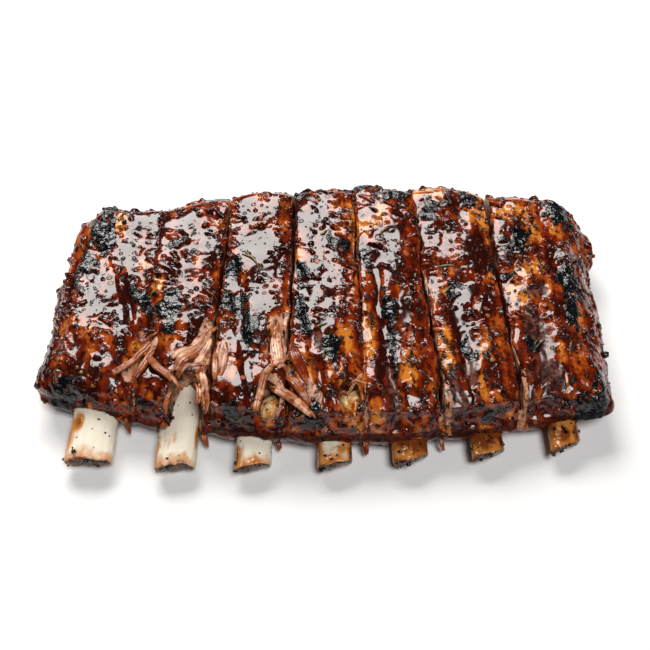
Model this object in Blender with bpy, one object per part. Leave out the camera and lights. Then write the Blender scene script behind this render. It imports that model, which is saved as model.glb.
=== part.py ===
"""A roast rack of seven pork ribs: one slab of meat, scored between the bones, and seven rib bones in it.

The rack lies flat on its bone side. +X runs along the rack, +Y points to the thick loin edge and +Z is up,
so the bare bone ends point to -Y. The origin is the centre of the rack's footprint, at table height.
Run it with: blender --background --python part.py
"""

import math

import bmesh
import bpy
from mathutils import Vector

MM = 0.001  # every length below is in millimetres, and the meshes are in metres

# The slab of meat: its outline at mid height.
LEFT_EDGE = (-110.5, -107.0)  # x at the near edge and at the far edge
RIGHT_EDGE = (109.0, 111.0)
NEAR_EDGE = -53.0  # y at the middle of the near edge
FAR_EDGE = 69.0
NEAR_BOW = 13.5  # how far each edge curves back towards the ends of the rack
FAR_BOW = 18.0
NEAR_BOW_AT = (8.0, 100.0)  # the x where an edge stands out most, and the distance to its ends
FAR_BOW_AT = (25.0, 120.0)
CORNER_PINCH = 0.02  # how much the short sides draw in at the corners
CORNER_SQUARENESS = 3.0  # 2 rounds the top's corners like a ball, and more keeps them fuller

# Its thickness.
TOP_NEAR = 25.5
TOP_FAR = 31.0
TOP_WAVE = 0.7  # the top rises and falls this much along the ribs
END_DROP = 3.0  # the rack is this much thinner at its two ends
SIDE_TOP = 13.0  # the side wall is upright up to here
SIDE_BOTTOM = 3.0
TOP_ROUND = 11.5  # how far in from the wall the top has reached its full height
BASE_ROUND = 6.0
WALL_BULGE = 1.2
WALL_TUCK = 3.0  # how far the foot of the wall draws in
RIB_END_BULGE = 1.6  # each rib's meat stands out this much between the cuts, near and far
CROWN_DROP = 2.6  # each rib's meat falls this much towards its cuts
SCALLOP = 2.0  # the underside rises this much between two bones
LAND_SHARE = 0.45  # the share of each rib's width that lies flat on the table

# The cuts between the ribs: x at the near edge and at the far edge, width at the top, and height of its far end.
CUTS = (
    (-71.0, -68.0, 1.4, 25.0),
    (-43.0, -40.0, 2.0, 23.0),
    (-14.0, -13.0, 2.4, 20.0),
    (15.0, 12.0, 1.6, 24.0),
    (43.5, 37.0, 2.2, 24.0),
    (73.0, 68.0, 2.6, 9.0),
)
CUT_FLOOR = 8.0  # the meat under a cut still holds the rack together
CUT_FLOOR_NEAR = 10.5
CUT_WIDTH_FLOOR = 1.1
CUT_SWAY = 0.5
CUT_ABOVE = 10.0  # how far the wedge that makes a cut stands over the slab

# The bones, from left to right: near x, far x, width, thickness, near end y, and how askew the end is sawn.
BONES = (
    (-87.5, -84.0, 17.0, 8.8, -60.0, 0.5),
    (-55.2, -54.0, 14.5, 8.4, -62.4, 1.0),
    (-26.4, -27.0, 13.0, 8.0, -62.4, 2.4),
    (3.7, 0.5, 12.6, 8.0, -61.2, 2.8),
    (31.8, 25.0, 12.6, 8.0, -59.4, 3.2),
    (60.8, 53.0, 12.0, 7.8, -57.2, 3.4),
    (90.0, 86.5, 11.0, 7.6, -53.4, 3.8),
)
BONE_SHORT = 1.0  # a bone's far end stops this far inside the far edge
BONE_HEIGHT_END = 5.4  # height of a bone's middle line at its bare end
BONE_HEIGHT_FAR = 8.6
BONE_RISE_SHARE = 0.45  # a bone has risen that far within this share of its length
BONE_ARCH = 2.4  # and then its middle stands this much higher again
BONE_SIDES = 14
BONE_STEPS = 9
BONE_SQUARENESS = 2.5  # 2 is an ellipse, and more has flatter faces
BONE_FLARE = 0.07  # a bone is this much wider at its bare end
FLARE_FADE = 6  # powers: the larger, the nearer to the bare end the flare or the sawn slant is gone
SAW_FADE = 8
RING_CROWDING = 0.6  # 0 spaces a bone's rings evenly, and 1 crowds them at the bare end
SAW_TILT = 2.2  # the upper edge of a sawn end stands out this much
SAW_ROUND = 0.9
CLEARANCE = 0.35  # the gap between a bone and the meat round it
HOLE_PAST_END = 8.0

# Where the meat has been pulled off a bone: centre x, y, z, then half sizes.
TORN_POCKETS = (
    ((-51.6, -50.0, 18.5), (7.0, 21.0, 13.0)),
    ((-48.5, -23.0, 30.5), (6.6, 15.0, 7.5)),
    ((-22.0, -43.5, 20.0), (4.6, 7.0, 11.0)),
    ((-18.0, -22.0, 30.0), (4.6, 14.0, 6.5)),
    ((8.4, -43.5, 20.0), (4.0, 7.0, 11.5)),
)

COLUMNS_PER_RIB = 6
ROWS = 16
LAYERS = 3


def lerp(low, high, share):
    return low + (high - low) * share


def clamp(value, low=0.0, high=1.0):
    return min(max(value, low), high)


def clear_scene():
    for obj in list(bpy.data.objects):
        bpy.data.objects.remove(obj)


def new_collection(name):
    made = bpy.data.collections.new(name)
    bpy.context.scene.collection.children.link(made)
    return made


def new_material(name, colour, roughness, coat):
    material = bpy.data.materials.new(name)
    material.use_nodes = True
    shader = material.node_tree.nodes["Principled BSDF"]
    shader.inputs["Base Color"].default_value = (*colour, 1.0)
    shader.inputs["Roughness"].default_value = roughness
    shader.inputs["Metallic"].default_value = 0.0
    shader.inputs["Coat Weight"].default_value = coat
    return material


def new_object(name, bm, collection, material=None):
    """Closes the bmesh into a named object. Its points are in millimetres until here."""
    bmesh.ops.scale(bm, verts=bm.verts, vec=Vector((MM, MM, MM)))
    bmesh.ops.recalc_face_normals(bm, faces=bm.faces)
    mesh = bpy.data.meshes.new(name)
    bm.to_mesh(mesh)
    bm.free()
    obj = bpy.data.objects.new(name, mesh)
    collection.objects.link(obj)
    if material:
        mesh.materials.append(material)
        mesh.shade_smooth()
        mesh.set_sharp_from_angle(angle=math.radians(50.0))
    else:
        obj.hide_render = True
        obj.display_type = "WIRE"
    return obj


def divided_cube(columns, rows, layers):
    """A cube from -1 to 1 on each axis, cut into that many cells along x, y and z."""
    bm = bmesh.new()
    bmesh.ops.create_cube(bm, size=2.0)
    for axis, cells in enumerate((columns, rows, layers)):
        along = [e for e in bm.edges if abs(e.verts[0].co[axis] - e.verts[1].co[axis]) > 1e-6]
        bmesh.ops.subdivide_edges(bm, edges=along, cuts=cells - 1, use_grid_fill=True)
    return bm


def near_edge(x):
    middle, reach = NEAR_BOW_AT
    return NEAR_EDGE + NEAR_BOW * ((x - middle) / reach) ** 2


def far_edge(x):
    middle, reach = FAR_BOW_AT
    return FAR_EDGE - FAR_BOW * ((x - middle) / reach) ** 2


def rib_bounds(share):
    """The x of the slab's left side, of each cut and of its right side, at a share of the way back."""
    sides = [LEFT_EDGE, *(cut[:2] for cut in CUTS), RIGHT_EDGE]
    return [lerp(near, far, share) for near, far in sides]


def across(a, share):
    """x, and the place within one rib from 0 to 1, for a from -1 to 1 across the rack."""
    bounds = rib_bounds(share)
    ribs = len(bounds) - 1
    at = clamp((a + 1) / 2) * ribs
    rib = min(int(at + 1e-6), ribs - 1)
    even = at - rib
    within = lerp(even, (1 - math.cos(math.pi * even)) / 2, 0.6)
    return lerp(bounds[rib], bounds[rib + 1], within), within


def top_height(x, share):
    wave = math.sin(x / 9.0 + 2.0) * math.sin(6.5 * share + x / 31.0)
    return lerp(TOP_NEAR, TOP_FAR, share) - END_DROP * (x / RIGHT_EDGE[0]) ** 2 + TOP_WAVE * wave


def turn_towards_wall(side_gap, end_gap, reach):
    """0 on the flat of a face, and 1 at the wall, from a point's distances to the two nearest walls."""
    side, end = clamp(1 - side_gap / reach), clamp(1 - end_gap / reach)
    return min(1.0, (side**CORNER_SQUARENESS + end**CORNER_SQUARENESS) ** (1 / CORNER_SQUARENESS))


def slab_point(a, b, c):
    """Where a point of the divided cube lies in the slab of meat."""
    rows = lerp(b, math.sin(b * math.pi / 2), 0.5)
    share = (rows + 1) / 2
    x, within = across(a, share)
    x *= 1 - CORNER_PINCH * abs(b) ** 6
    depth = far_edge(x) - near_edge(x)
    y = near_edge(x) + depth * share

    side_gap = min(x - LEFT_EDGE[0], RIGHT_EDGE[0] - x) if abs(a) < 1 else 0.0
    end_gap = min(y - near_edge(x), far_edge(x) - y)
    if c > 1 - 1e-6:
        turn = turn_towards_wall(side_gap, end_gap, TOP_ROUND)
        crown = CROWN_DROP * abs(2 * within - 1) ** 4
        z = lerp(SIDE_TOP, top_height(x, share) - crown, math.sqrt(1 - turn**2))
    elif c < -1 + 1e-6:
        turn = turn_towards_wall(side_gap, end_gap, BASE_ROUND)
        rise = SCALLOP * clamp((abs(2 * within - 1) - LAND_SHARE) / (1 - LAND_SHARE)) ** 2
        z = max(rise, SIDE_BOTTOM * turn**2)
    else:
        z = lerp(SIDE_BOTTOM, SIDE_TOP, (c + 1) / 2)

    # The wall bulges at mid height and draws in at its foot. Each rib's meat rounds out at its two ends.
    low = (1 - c) / 2
    out = WALL_BULGE * (1 - c * c) - WALL_TUCK * low**2
    if abs(a) > 1 - 1e-6:
        x += out * math.copysign(1, a)
    if abs(b) > 1 - 1e-6:
        y += out * math.copysign(1, b)
    y += b**5 * RIB_END_BULGE * (1 - abs(2 * within - 1) ** 3)
    return Vector((x, y, z))


def meat_slab(collection, material):
    bm = divided_cube(COLUMNS_PER_RIB * len(BONES), ROWS, LAYERS)
    for vert in bm.verts:
        vert.co = slab_point(*vert.co)
    return new_object("rib_meat", bm, collection, material)


def cut_cutter(index, cut, collection):
    """A thin wedge that scores the slab from above. Most cuts rise to a closed end near the far edge."""
    near_x, far_x, width_top, far_floor = cut
    bm = divided_cube(1, 10, 1)
    for vert in bm.verts:
        a, b, c = vert.co
        share = (b + 1) / 2
        y = lerp(near_edge(near_x) - CUT_ABOVE, far_edge(far_x) + CUT_ABOVE, share)
        sway = CUT_SWAY * math.sin(2.3 * math.pi * share + 1.7 * index)
        floor = max(
            lerp(CUT_FLOOR_NEAR, CUT_FLOOR, clamp(share * 4)),
            lerp(CUT_FLOOR, far_floor, clamp(share * 5 - 3.9)),
        )
        top = TOP_FAR + CUT_ABOVE
        # The wedge is as wide as the cut at the meat's surface, and wider above it.
        spread = (width_top - CUT_WIDTH_FLOOR) * (top - floor) / (TOP_FAR - CUT_FLOOR)
        z, width = (top, CUT_WIDTH_FLOOR + spread) if c > 0 else (floor, CUT_WIDTH_FLOOR)
        vert.co = (lerp(near_x, far_x, share) + sway + a * width / 2, y, z)
    return new_object(f"cutter_cut_{index + 1}", bm, collection)


def bone_point(unit, spec, grow):
    """Where a point of a unit cylinder lies in a bone that is thicker by grow all round."""
    near_x, far_x, width, thickness, near_y, askew = spec
    far_y = far_edge(far_x) - BONE_SHORT
    t = unit.z + 0.5
    ring = math.hypot(unit.x, unit.y)
    angle = math.atan2(unit.y, unit.x)

    # The section is a rounded box: flatter on top and below than an ellipse.
    power = 2 / BONE_SQUARENESS
    side = math.copysign(abs(math.cos(angle)) ** power, math.cos(angle)) * ring
    rise = math.copysign(abs(math.sin(angle)) ** power, math.sin(angle)) * ring
    flare = 1 + BONE_FLARE * (1 - t) ** FLARE_FADE
    half_width = width / 2 * flare + grow
    half_height = thickness / 2 + grow

    rising = clamp(t / BONE_RISE_SHARE)
    height = lerp(BONE_HEIGHT_END, BONE_HEIGHT_FAR, rising) + BONE_ARCH * math.sin(math.pi * t)
    x = lerp(near_x, far_x, t) + side * half_width
    y = lerp(near_y, far_y, t)
    z = height + rise * half_height
    y += (1 - t) ** SAW_FADE * (askew * side - SAW_TILT * rise) / 2
    return Vector((x, y, z))


def bone_body(spec, grow=0.0):
    """A bone lofted along its middle line from a cylinder, or with grow the hole that it lies in."""
    bm = bmesh.new()
    bmesh.ops.create_cone(bm, cap_ends=True, segments=BONE_SIDES, radius1=1.0, radius2=1.0, depth=1.0)
    along = [e for e in bm.edges if abs(e.verts[0].co.z - e.verts[1].co.z) > 0.5]
    bmesh.ops.subdivide_edges(bm, edges=along, cuts=BONE_STEPS - 1)
    for vert in bm.verts:
        # The rings stand closer together towards the bare end.
        t = vert.co.z + 0.5
        vert.co.z = lerp(t, t * t, RING_CROWDING) - 0.5
        vert.co = bone_point(vert.co, spec, grow)
    bm.normal_update()
    bmesh.ops.recalc_face_normals(bm, faces=bm.faces)

    sawn_face, far_face = (pick(bm.faces, key=lambda face: face.calc_center_median().y) for pick in (min, max))
    if grow:
        for face, way in ((sawn_face, -1), (far_face, 1)):
            longer = bmesh.ops.extrude_discrete_faces(bm, faces=[face])["faces"]
            bmesh.ops.translate(bm, verts=longer[0].verts, vec=Vector((0, way * HOLE_PAST_END, 0)))
    else:
        rim = list(sawn_face.edges)
        bmesh.ops.bevel(bm, geom=rim, offset=SAW_ROUND, segments=1, affect="EDGES", profile=0.5, material=-1)
    return bm


def torn_cutter(index, centre, half, collection):
    """A hollow where meat has come away from the bone."""
    bm = bmesh.new()
    bmesh.ops.create_uvsphere(bm, u_segments=12, v_segments=7, radius=1.0)
    bmesh.ops.scale(bm, verts=bm.verts, vec=Vector(half))
    bmesh.ops.translate(bm, verts=bm.verts, vec=Vector(centre))
    return new_object(f"cutter_torn_{index + 1}", bm, collection)


def cut_from(obj, cutter):
    modifier = obj.modifiers.new(f"less {cutter.name}", "BOOLEAN")
    modifier.operation = "DIFFERENCE"
    modifier.solver = "EXACT"
    modifier.object = cutter


def stand_on_origin(objects):
    """Moves the rack so that the origin is the bottom centre of its box."""
    bpy.context.view_layer.update()
    graph = bpy.context.evaluated_depsgraph_get()
    corners = [
        obj.matrix_world @ Vector(corner)
        for obj in objects
        for corner in obj.evaluated_get(graph).bound_box
    ]
    low = Vector(map(min, zip(*corners, strict=True)))
    high = Vector(map(max, zip(*corners, strict=True)))
    shift = Vector(((low.x + high.x) / 2, (low.y + high.y) / 2, low.z))
    for obj in objects:
        obj.location -= shift
    print("origin moved by", [round(value / MM, 2) for value in shift], "mm")


def main():
    clear_scene()
    rack = new_collection("rack_of_ribs")
    cutters = new_collection("cutters")
    meat_finish = new_material("glazed_meat", (0.13, 0.028, 0.012), 0.35, 0.8)
    bone_finish = new_material("rib_bone", (0.78, 0.68, 0.50), 0.45, 0.1)

    meat = meat_slab(rack, meat_finish)
    tools = [cut_cutter(i, cut, cutters) for i, cut in enumerate(CUTS)]
    tools += [torn_cutter(i, centre, half, cutters) for i, (centre, half) in enumerate(TORN_POCKETS)]
    bones = []
    for i, spec in enumerate(BONES):
        tools.append(new_object(f"cutter_bone_{i + 1}", bone_body(spec, CLEARANCE), cutters))
        bones.append(new_object(f"rib_bone_{i + 1}", bone_body(spec), rack, bone_finish))
    for tool in tools:
        cut_from(meat, tool)
    stand_on_origin([meat, *bones, *tools])


main()
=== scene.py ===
# %% [markdown]
# # A glazed rack of ribs
#
# The object is a roast rack of pork ribs, cut between its bones but still one slab. The packed model gives
# its solids: one body of meat with six cuts, and seven rib bones. This lesson gives them their looks: a wet,
# bumpy glaze, char, pulled meat, browned bone ends, and the pepper and herbs that stick to it. The unit is
# the metre, in the packed model's own frame: +X runs along the rack, +Y points to the loin edge, away from
# the bare bone ends, and +Z is up. Small things are easier to think about in millimetres, so most helpers
# take those.

# %% Load the packed model
import math
from itertools import product

import bmesh
import bpy
import numpy as np
from mathutils import Matrix, Quaternion, Vector
from mathutils.bvhtree import BVHTree


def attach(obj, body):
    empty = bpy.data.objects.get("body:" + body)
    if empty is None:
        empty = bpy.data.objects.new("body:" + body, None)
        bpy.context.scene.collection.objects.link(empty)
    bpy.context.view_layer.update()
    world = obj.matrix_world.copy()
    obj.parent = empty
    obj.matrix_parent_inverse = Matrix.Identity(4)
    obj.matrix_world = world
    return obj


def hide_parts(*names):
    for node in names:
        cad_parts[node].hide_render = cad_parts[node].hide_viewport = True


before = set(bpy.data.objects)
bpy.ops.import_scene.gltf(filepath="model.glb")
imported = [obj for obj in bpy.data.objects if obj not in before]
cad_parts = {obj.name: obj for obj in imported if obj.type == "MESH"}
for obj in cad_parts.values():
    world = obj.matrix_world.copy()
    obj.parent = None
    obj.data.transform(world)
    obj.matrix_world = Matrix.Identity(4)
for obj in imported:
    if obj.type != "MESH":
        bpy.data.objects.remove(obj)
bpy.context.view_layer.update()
MM = 0.001
print("nodes:", sorted(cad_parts))

# %% [markdown]
# ## Camera
#
# Food looks best at the angle from which a seated guest sees it, about 50 degrees above the table. A wide
# lens close by would make the near bones look huge. A longer lens from 40 cm keeps the slab's sides nearly
# parallel, as the eye expects them.


# %% Camera
def as_object(name, data):
    """A new object with that data, in the scene."""
    obj = bpy.data.objects.new(name, data)
    bpy.context.scene.collection.objects.link(obj)
    return obj


def place(name, data, location, at):
    """Puts a camera or a light in the scene and turns it towards a point."""
    obj = as_object(name, data)
    obj.location = location
    obj.rotation_euler = (Vector(at) - obj.location).to_track_quat("-Z", "Y").to_euler()
    return obj


def around(azimuth, elevation, distance, at):
    """A point at that distance from another. Azimuth 0 is the camera's side, and 180 is behind the rack."""
    a, e = math.radians(azimuth), math.radians(elevation)
    direction = (math.sin(a) * math.cos(e), -math.cos(a) * math.cos(e), math.sin(e))
    return Vector(at) + distance * Vector(direction)


LOOK_AT = (-0.00035, -0.00334, 0.012)
SENSOR_WIDTH, FOCAL_LENGTH = 36, 54.83
CAMERA_ELEVATION, CAMERA_DISTANCE = 50, 0.400
lens = bpy.data.cameras.new("camera")
lens.sensor_width, lens.lens = SENSOR_WIDTH, FOCAL_LENGTH
camera = place("camera", lens, around(0, CAMERA_ELEVATION, CAMERA_DISTANCE, LOOK_AT), LOOK_AT)
bpy.context.scene.camera = camera
print("camera at", [round(value, 3) for value in camera.location])

# %% [markdown]
# ## Light
#
# Wet glaze is a mirror, so what it mirrors matters as much as its own colour. A ring of lamps would put a
# grey veil on everything. Here one softbox stands behind the rack on the left, just where a level wet surface
# mirrors it into the lens, and it draws the pale islands on the glaze. A soft sun over the camera's right
# shoulder fills the shadows. It is small in the sky, so that its own reflections stay small.


# %% Light
def softbox(name, azimuth, elevation, distance, width, height, radiance, colour):
    """A rectangular light that looks equally bright from everywhere in front of it."""
    light = bpy.data.lights.new(name, "AREA")
    light.shape = "RECTANGLE"
    light.size, light.size_y = width, height
    light.energy = radiance * math.pi * width * height
    light.color = colour
    return place(name, light, around(azimuth, elevation, distance, RACK_MIDDLE), RACK_MIDDLE)


RACK_MIDDLE = (0, 0, 0.02)
WARM_WHITE = (1.0, 0.965, 0.925)
KEY_WIDTH, KEY_HEIGHT, KEY_RADIANCE = 0.76, 0.46, 11.7
FILL_STRENGTH, FILL_ANGLE = 2.0, 25
softbox("key_behind", 198, 45, 1.0, KEY_WIDTH, KEY_HEIGHT, KEY_RADIANCE, WARM_WHITE)
fill = bpy.data.lights.new("fill_above", "SUN")
fill.energy = FILL_STRENGTH
fill.angle = math.radians(FILL_ANGLE)
place("fill_above", fill, around(30, 64, 1.3, RACK_MIDDLE), RACK_MIDDLE)
print("lights:", len(bpy.data.lights))

# %% [markdown]
# ## Floor and background
#
# The glaze would also mirror a bright sky, and then its dark parts would turn grey. So the world is nearly
# black for every ray but the camera's own: a Light Path node tells those apart, and the camera sees a pale
# grey that carries on from the far floor. The floor is a large plain plane.

# %% Floor and background
SKY_SEEN, SKY_MIRRORED = 0.50, 0.03
world = bpy.data.worlds.new("studio")
world.use_nodes = True
background = world.node_tree.nodes["Background"]
background.inputs["Color"].default_value = (1, 1, 1, 1)
sky = world.node_tree.nodes.new("ShaderNodeMapRange")
sky.inputs["To Min"].default_value = SKY_MIRRORED
sky.inputs["To Max"].default_value = SKY_SEEN
ray = world.node_tree.nodes.new("ShaderNodeLightPath")
world.node_tree.links.new(ray.outputs["Is Camera Ray"], sky.inputs["Value"])
world.node_tree.links.new(sky.outputs["Result"], background.inputs["Strength"])
bpy.context.scene.world = world
bpy.context.scene.view_settings.view_transform = "Standard"


def as_mesh(name, bm):
    """A new mesh from a bmesh, which is used up."""
    mesh = bpy.data.meshes.new(name)
    bm.to_mesh(mesh)
    bm.free()
    return mesh


HALF_FLOOR, FLOOR_GREY, FLOOR_ROUGHNESS = 30, 0.88, 0.8
bm = bmesh.new()
bmesh.ops.create_grid(bm, x_segments=1, y_segments=1, size=HALF_FLOOR)
floor = as_object("floor", as_mesh("floor", bm))
floor_paint = bpy.data.materials.new("pale_floor")
floor_paint.use_nodes = True
paint = floor_paint.node_tree.nodes["Principled BSDF"].inputs
paint["Base Color"].default_value = (FLOOR_GREY, FLOOR_GREY, FLOOR_GREY, 1)
paint["Roughness"].default_value = FLOOR_ROUGHNESS
floor.data.materials.append(floor_paint)
print("floor:", [round(side, 1) for side in floor.dimensions[:2]], "m")

# %% [markdown]
# ## Noise
#
# Roast meat is never smooth, so every bump comes from noise. Blender's own noise works inside a material or a
# modifier. Here the same noise has to move points and also say where the char and the glaze are, so it is
# worked out once for all the points, with numpy. `lumps` is gradient noise: each corner of a grid gets a
# random slope, and the slopes are blended in between.


# %% Noise
def mixed(*whole, seed):
    """One scrambled number from 0 to 255 for each grid cell."""
    h = np.full(whole[0].shape, seed * 374761393 + 668265263, np.int64)
    for part, prime in zip(whole, (73856093, 19349663, 83492791)):
        h ^= part.astype(np.int64) * prime
    h = (h ^ (h >> 13)) * 1274126177 & 0xFFFFFFFF
    return ((h ^ (h >> 16)) & 255).astype(np.intp)


SLOPES = np.random.default_rng(3).normal(size=(256, 3))
SLOPES /= np.linalg.norm(SLOPES, axis=1)[:, None]


def lumps(p, size, seed=0):
    """Gradient noise from about -1 to 1. size is a lump's width in mm, one number or one for each axis."""
    q = p / np.asarray(size, float)
    cell = np.floor(q).astype(int)
    f = q - cell
    u = f * f * f * (f * (f * 6 - 15) + 10)
    total = np.zeros(len(p))
    for corner in product((0, 1), repeat=3):
        slope = SLOPES[mixed(*(cell + corner).T, seed=seed)]
        weight = np.prod(np.where(corner, u, 1 - u), axis=1)
        total += weight * ((f - corner) * slope).sum(axis=1)
    return total * 1.7


sample = lumps(np.random.default_rng(1).random((9999, 3)) * 99, 5.0)
print("lumps run from", sample.min().round(2), "to", sample.max().round(2))

# %% [markdown] Grains of rub are something else: separate dots. Each square of a grid holds one spot at a
# random place, and `grains` finds how far a point is from the nearest.


# %% Grains and soft steps
SPOTS_IN_CELLS = np.random.default_rng(4).random((256, 3))


def grains(p, spacing, seed=0):
    """The distance from above, in mm, to the nearest of spots scattered that far apart, and its number."""
    q = p[:, :2] / spacing
    cell = np.floor(q).astype(int)
    best, own = np.full(len(p), 9.0), np.zeros(len(p))
    for step in product((-1, 0, 1), repeat=2):
        at = cell + step
        pick = SPOTS_IN_CELLS[mixed(*at.T, seed=seed)]
        away = np.linalg.norm(at + pick[:, :2] - q, axis=1)
        nearer = away < best
        best[nearer], own[nearer] = away[nearer], pick[nearer, 2]
    return best * spacing, own


def smooth(low, high, value):
    """0 below low, 1 above high, and a soft step between. With high below low, it falls instead."""
    t = np.clip((value - low) / (high - low), 0, 1)
    return t * t * (3 - 2 * t)


def lerp(low, high, share):
    """A blend: low at a share of 0, high at 1."""
    return low + (high - low) * share


def larger(a, b, blend):
    """The larger of two heights, with the corner between them rounded over that many mm."""
    return np.logaddexp(a / blend, b / blend) * blend


print("halfway:", smooth(0, 1, 0.5), lerp(2, 4, 0.5), round(float(larger(0.0, 0.0, 0.06)), 3))

# %% [markdown]
# ## The rack's layout
#
# The looks follow the ribs: char sits on the high crests, glaze pools beside each bone, and bare meat shows
# where a strip was pulled off. So the lesson needs to know where the cuts and the bones are. The bones are
# measured from their nodes. The cuts are the model's own, as x at the near edge and at the far edge, in mm.

# %% The rack's layout
CUTS = ((-71.35, -68.35), (-43.35, -40.35), (-14.35, -13.35), (14.65, 11.65), (43.15, 36.65), (72.65, 67.65))


LEFT_END, RIGHT_END = -109.5, 110.5


def near_edge(x):
    """The y of the slab's near edge, a shallow arc, at a place along the rack."""
    return -56.34 + 13.5 * ((x - 7.65) / 100) ** 2


def far_edge(x):
    """The y of its far edge, an arc the other way."""
    return 65.66 - 18.0 * ((x - 24.65) / 120) ** 2


def vectors(items, name):
    """One vector of every item of a mesh, as an array."""
    flat = np.empty(len(items) * 3, np.float32)
    items.foreach_get(name, flat)
    return flat.reshape(-1, 3).astype(float)


def points_mm(mesh):
    """A mesh's points, in mm."""
    return vectors(mesh.vertices, "co") / MM


def bone_line(node):
    """The middle of a bone's near end and of its far end, and its half width and half height."""
    p = points_mm(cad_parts[node].data)
    near, far = p[p[:, 1] < p[:, 1].min() + 8], p[p[:, 1] > p[:, 1].max() - 8]
    middle = [(end.min(axis=0) + end.max(axis=0)) / 2 for end in (near, far)]
    return middle[0], middle[1], np.ptp(near[:, 0]) / 2, np.ptp(near[:, 2]) / 2


BONES = [bone_line(f"rib_bone_{i}") for i in range(1, 8)]
for i, (near, far, half_width, half_height) in enumerate(BONES, 1):
    print(f"bone {i}: x {near[0]:.1f} to {far[0]:.1f} mm, {2 * half_width:.1f} mm wide")

# %% [markdown]
# ## Where the finishes are
#
# On the real rack these are accidents of the fire, the brush and the knife, each in one place. Noise alone
# would put them anywhere, so they are listed: a spot is its middle, its two half widths and its turn
# in degrees, as seen from above. Noise then gives it a ragged rim.

# %% Where the finishes are
CHAR = (  # burnt black and rough
    (-91.5, 35, 5.5, 15, -4), (-97, 14, 4, 12, -5), (-98.5, -44, 7, 8, 20), (-72.5, -2, 4.5, 10, 25),
    (-61, -4, 6, 9, 0), (-60, -16, 3, 7, 0), (-58.5, 27, 8, 2.5, 25), (-46, 55, 6, 5, 20),
    (-66, -52, 5, 6, 0), (-37, 15, 3.5, 6, 0), (-36, -4, 5, 6, 0), (-29, -19, 3.5, 12, 0),
    (-35, -53, 5, 4.5, 0), (-9, 57, 5, 5, 0), (-9.5, 14, 3, 6, 20), (-9.5, -6, 2.5, 9, 5),
    (-7, -17, 2.5, 7, 12), (-5, -54, 4.5, 4, 0), (4.5, 27, 9, 3.5, -38), (2, -26, 3, 6, 0),
    (15, 61, 6, 4, 0), (28, 54, 7, 5, 0), (17, 18, 2, 7, 10), (24, -6, 3.5, 10, 8), (25.5, -27, 2, 12, 5),
    (43.5, 44, 5, 6, 0), (60, 52, 5, 5, 0), (49, 2, 5, 4, 20), (53.5, -25, 3, 7, 6), (61, -54, 4, 4, 0),
    (80, 29, 7, 9, -10), (73.5, 11, 4, 3, 0), (97.5, 48, 7, 9, 0), (97, 8, 6, 8, 10),
    (95.5, -8, 4, 9, -5), (79, -24, 3, 4, 0), (100, -48, 8, 9, 0), (68, 13, 2, 4, 0),
    (71, -36, 1.5, 6, 0),
)
POOLS = (  # level glaze that hides the lumps of meat
    (-74.5, 36, 5.5, 8, -20), (-81, 22, 5.5, 10, -35), (-89, 3, 6.5, 10, -25), (-92, -6, 9, 4.5, 0),
    (-79, -14, 4, 12, 10), (-87, -33, 3, 6, 0), (-83.5, -45, 6, 5.5, 35), (-63, 38, 6, 9, -35),
    (-47.5, 22, 5, 14, 5), (-52.5, 6, 6.5, 11, 8), (-51.5, -12, 4, 9, 15), (-29, 43, 9, 7, 0),
    (-27, 25, 8, 11, 0), (-26, 6, 6.5, 9, 0), (-36.5, 8, 3, 7, 0), (-23, -5, 4, 6, 0), (-6, 34, 6, 10, 0),
    (0, 21, 9, 12, -20), (4, 6, 6, 9, 0), (4, -12, 5, 11, 0), (16, 42, 5, 5, 0), (15.5, 24, 3, 9, 0),
    (27.5, 30, 7, 15, 0), (32, 13, 6, 9, 0), (33, -7, 5, 11, -10), (43.5, 31, 4, 8, 15),
    (60, 21, 6, 11, -5), (47, 7, 4, 4, 0), (57, 1, 3, 7, -30), (64, -5, 4, 8, -25), (73, 31, 2.5, 7, 20),
    (89.5, 20, 3, 9, 0),
)
AMBER = (  # thin glaze with orange meat showing through
    (-78, 15, 7, 4, 0), (-94, -13, 3.5, 9, 15), (-85, 37, 3, 8, 15), (-72, -28, 5, 9, -30),
    (-66.5, 6, 4, 4.5, 0), (-62, 48, 8, 5, 20), (-44, 37, 8, 3, 0), (-38.5, 0, 2.5, 6, 0),
    (-36.5, -33, 4, 10, 10), (8, 45, 7, 5, -35), (6, 38, 3.5, 9, -20), (-9, -33, 4.5, 13, -25),
    (5, -24, 4.5, 8, 0), (3, -40, 4, 8, 0), (22, 38, 9, 4, 5), (17, -12, 3.5, 9, 0), (17, -26, 3, 6, 0),
    (31, -36, 3, 10, 0), (44, 56, 8, 5, 0), (58, 43, 10, 4.5, -5), (61, -24, 4.5, 9, 0),
    (45, -28, 3, 12, 0), (57.5, -46, 2, 12, 0), (82, 15, 8, 4, 0), (75, 1, 4, 7, 20), (84, -7, 3, 5, 0),
    (88.5, -20, 2.5, 15, 5), (97, 36, 4, 5, 0), (78, 45, 6, 6, 0), (10.5, -53, 4, 6, 0),
    (19, -53, 4, 6, 0),
)
DRY = (  # bare, matt, dark brown meat, with a painted purple-grey sheen
    (83, -30, 5.5, 30, 6), (85, 2, 3.5, 4, 0), (54, -32, 3, 16, 6), (49, -52, 4, 14, 4),
    (24.5, -47, 3.5, 16, 4), (-4, -23, 2.5, 6, 15), (75, -47, 3, 12, 0),
)
TORN = (  # pink meat where a strip came away
    (-47.5, -24, 4, 14, -14), (-51.5, -44, 6.5, 13, 0), (-18.5, -22, 4.5, 13, 0), (-20, -46, 4.5, 9, 0),
    (-7, -44, 3.5, 12, 30), (-70.5, -30, 3, 13, -28), (-38.5, -30, 1.8, 9, 0), (15.5, -52, 1.6, 4, 0),
    (44.5, -52, 2, 12, 3), (73, -48, 1.6, 12, 0),
)


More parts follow.
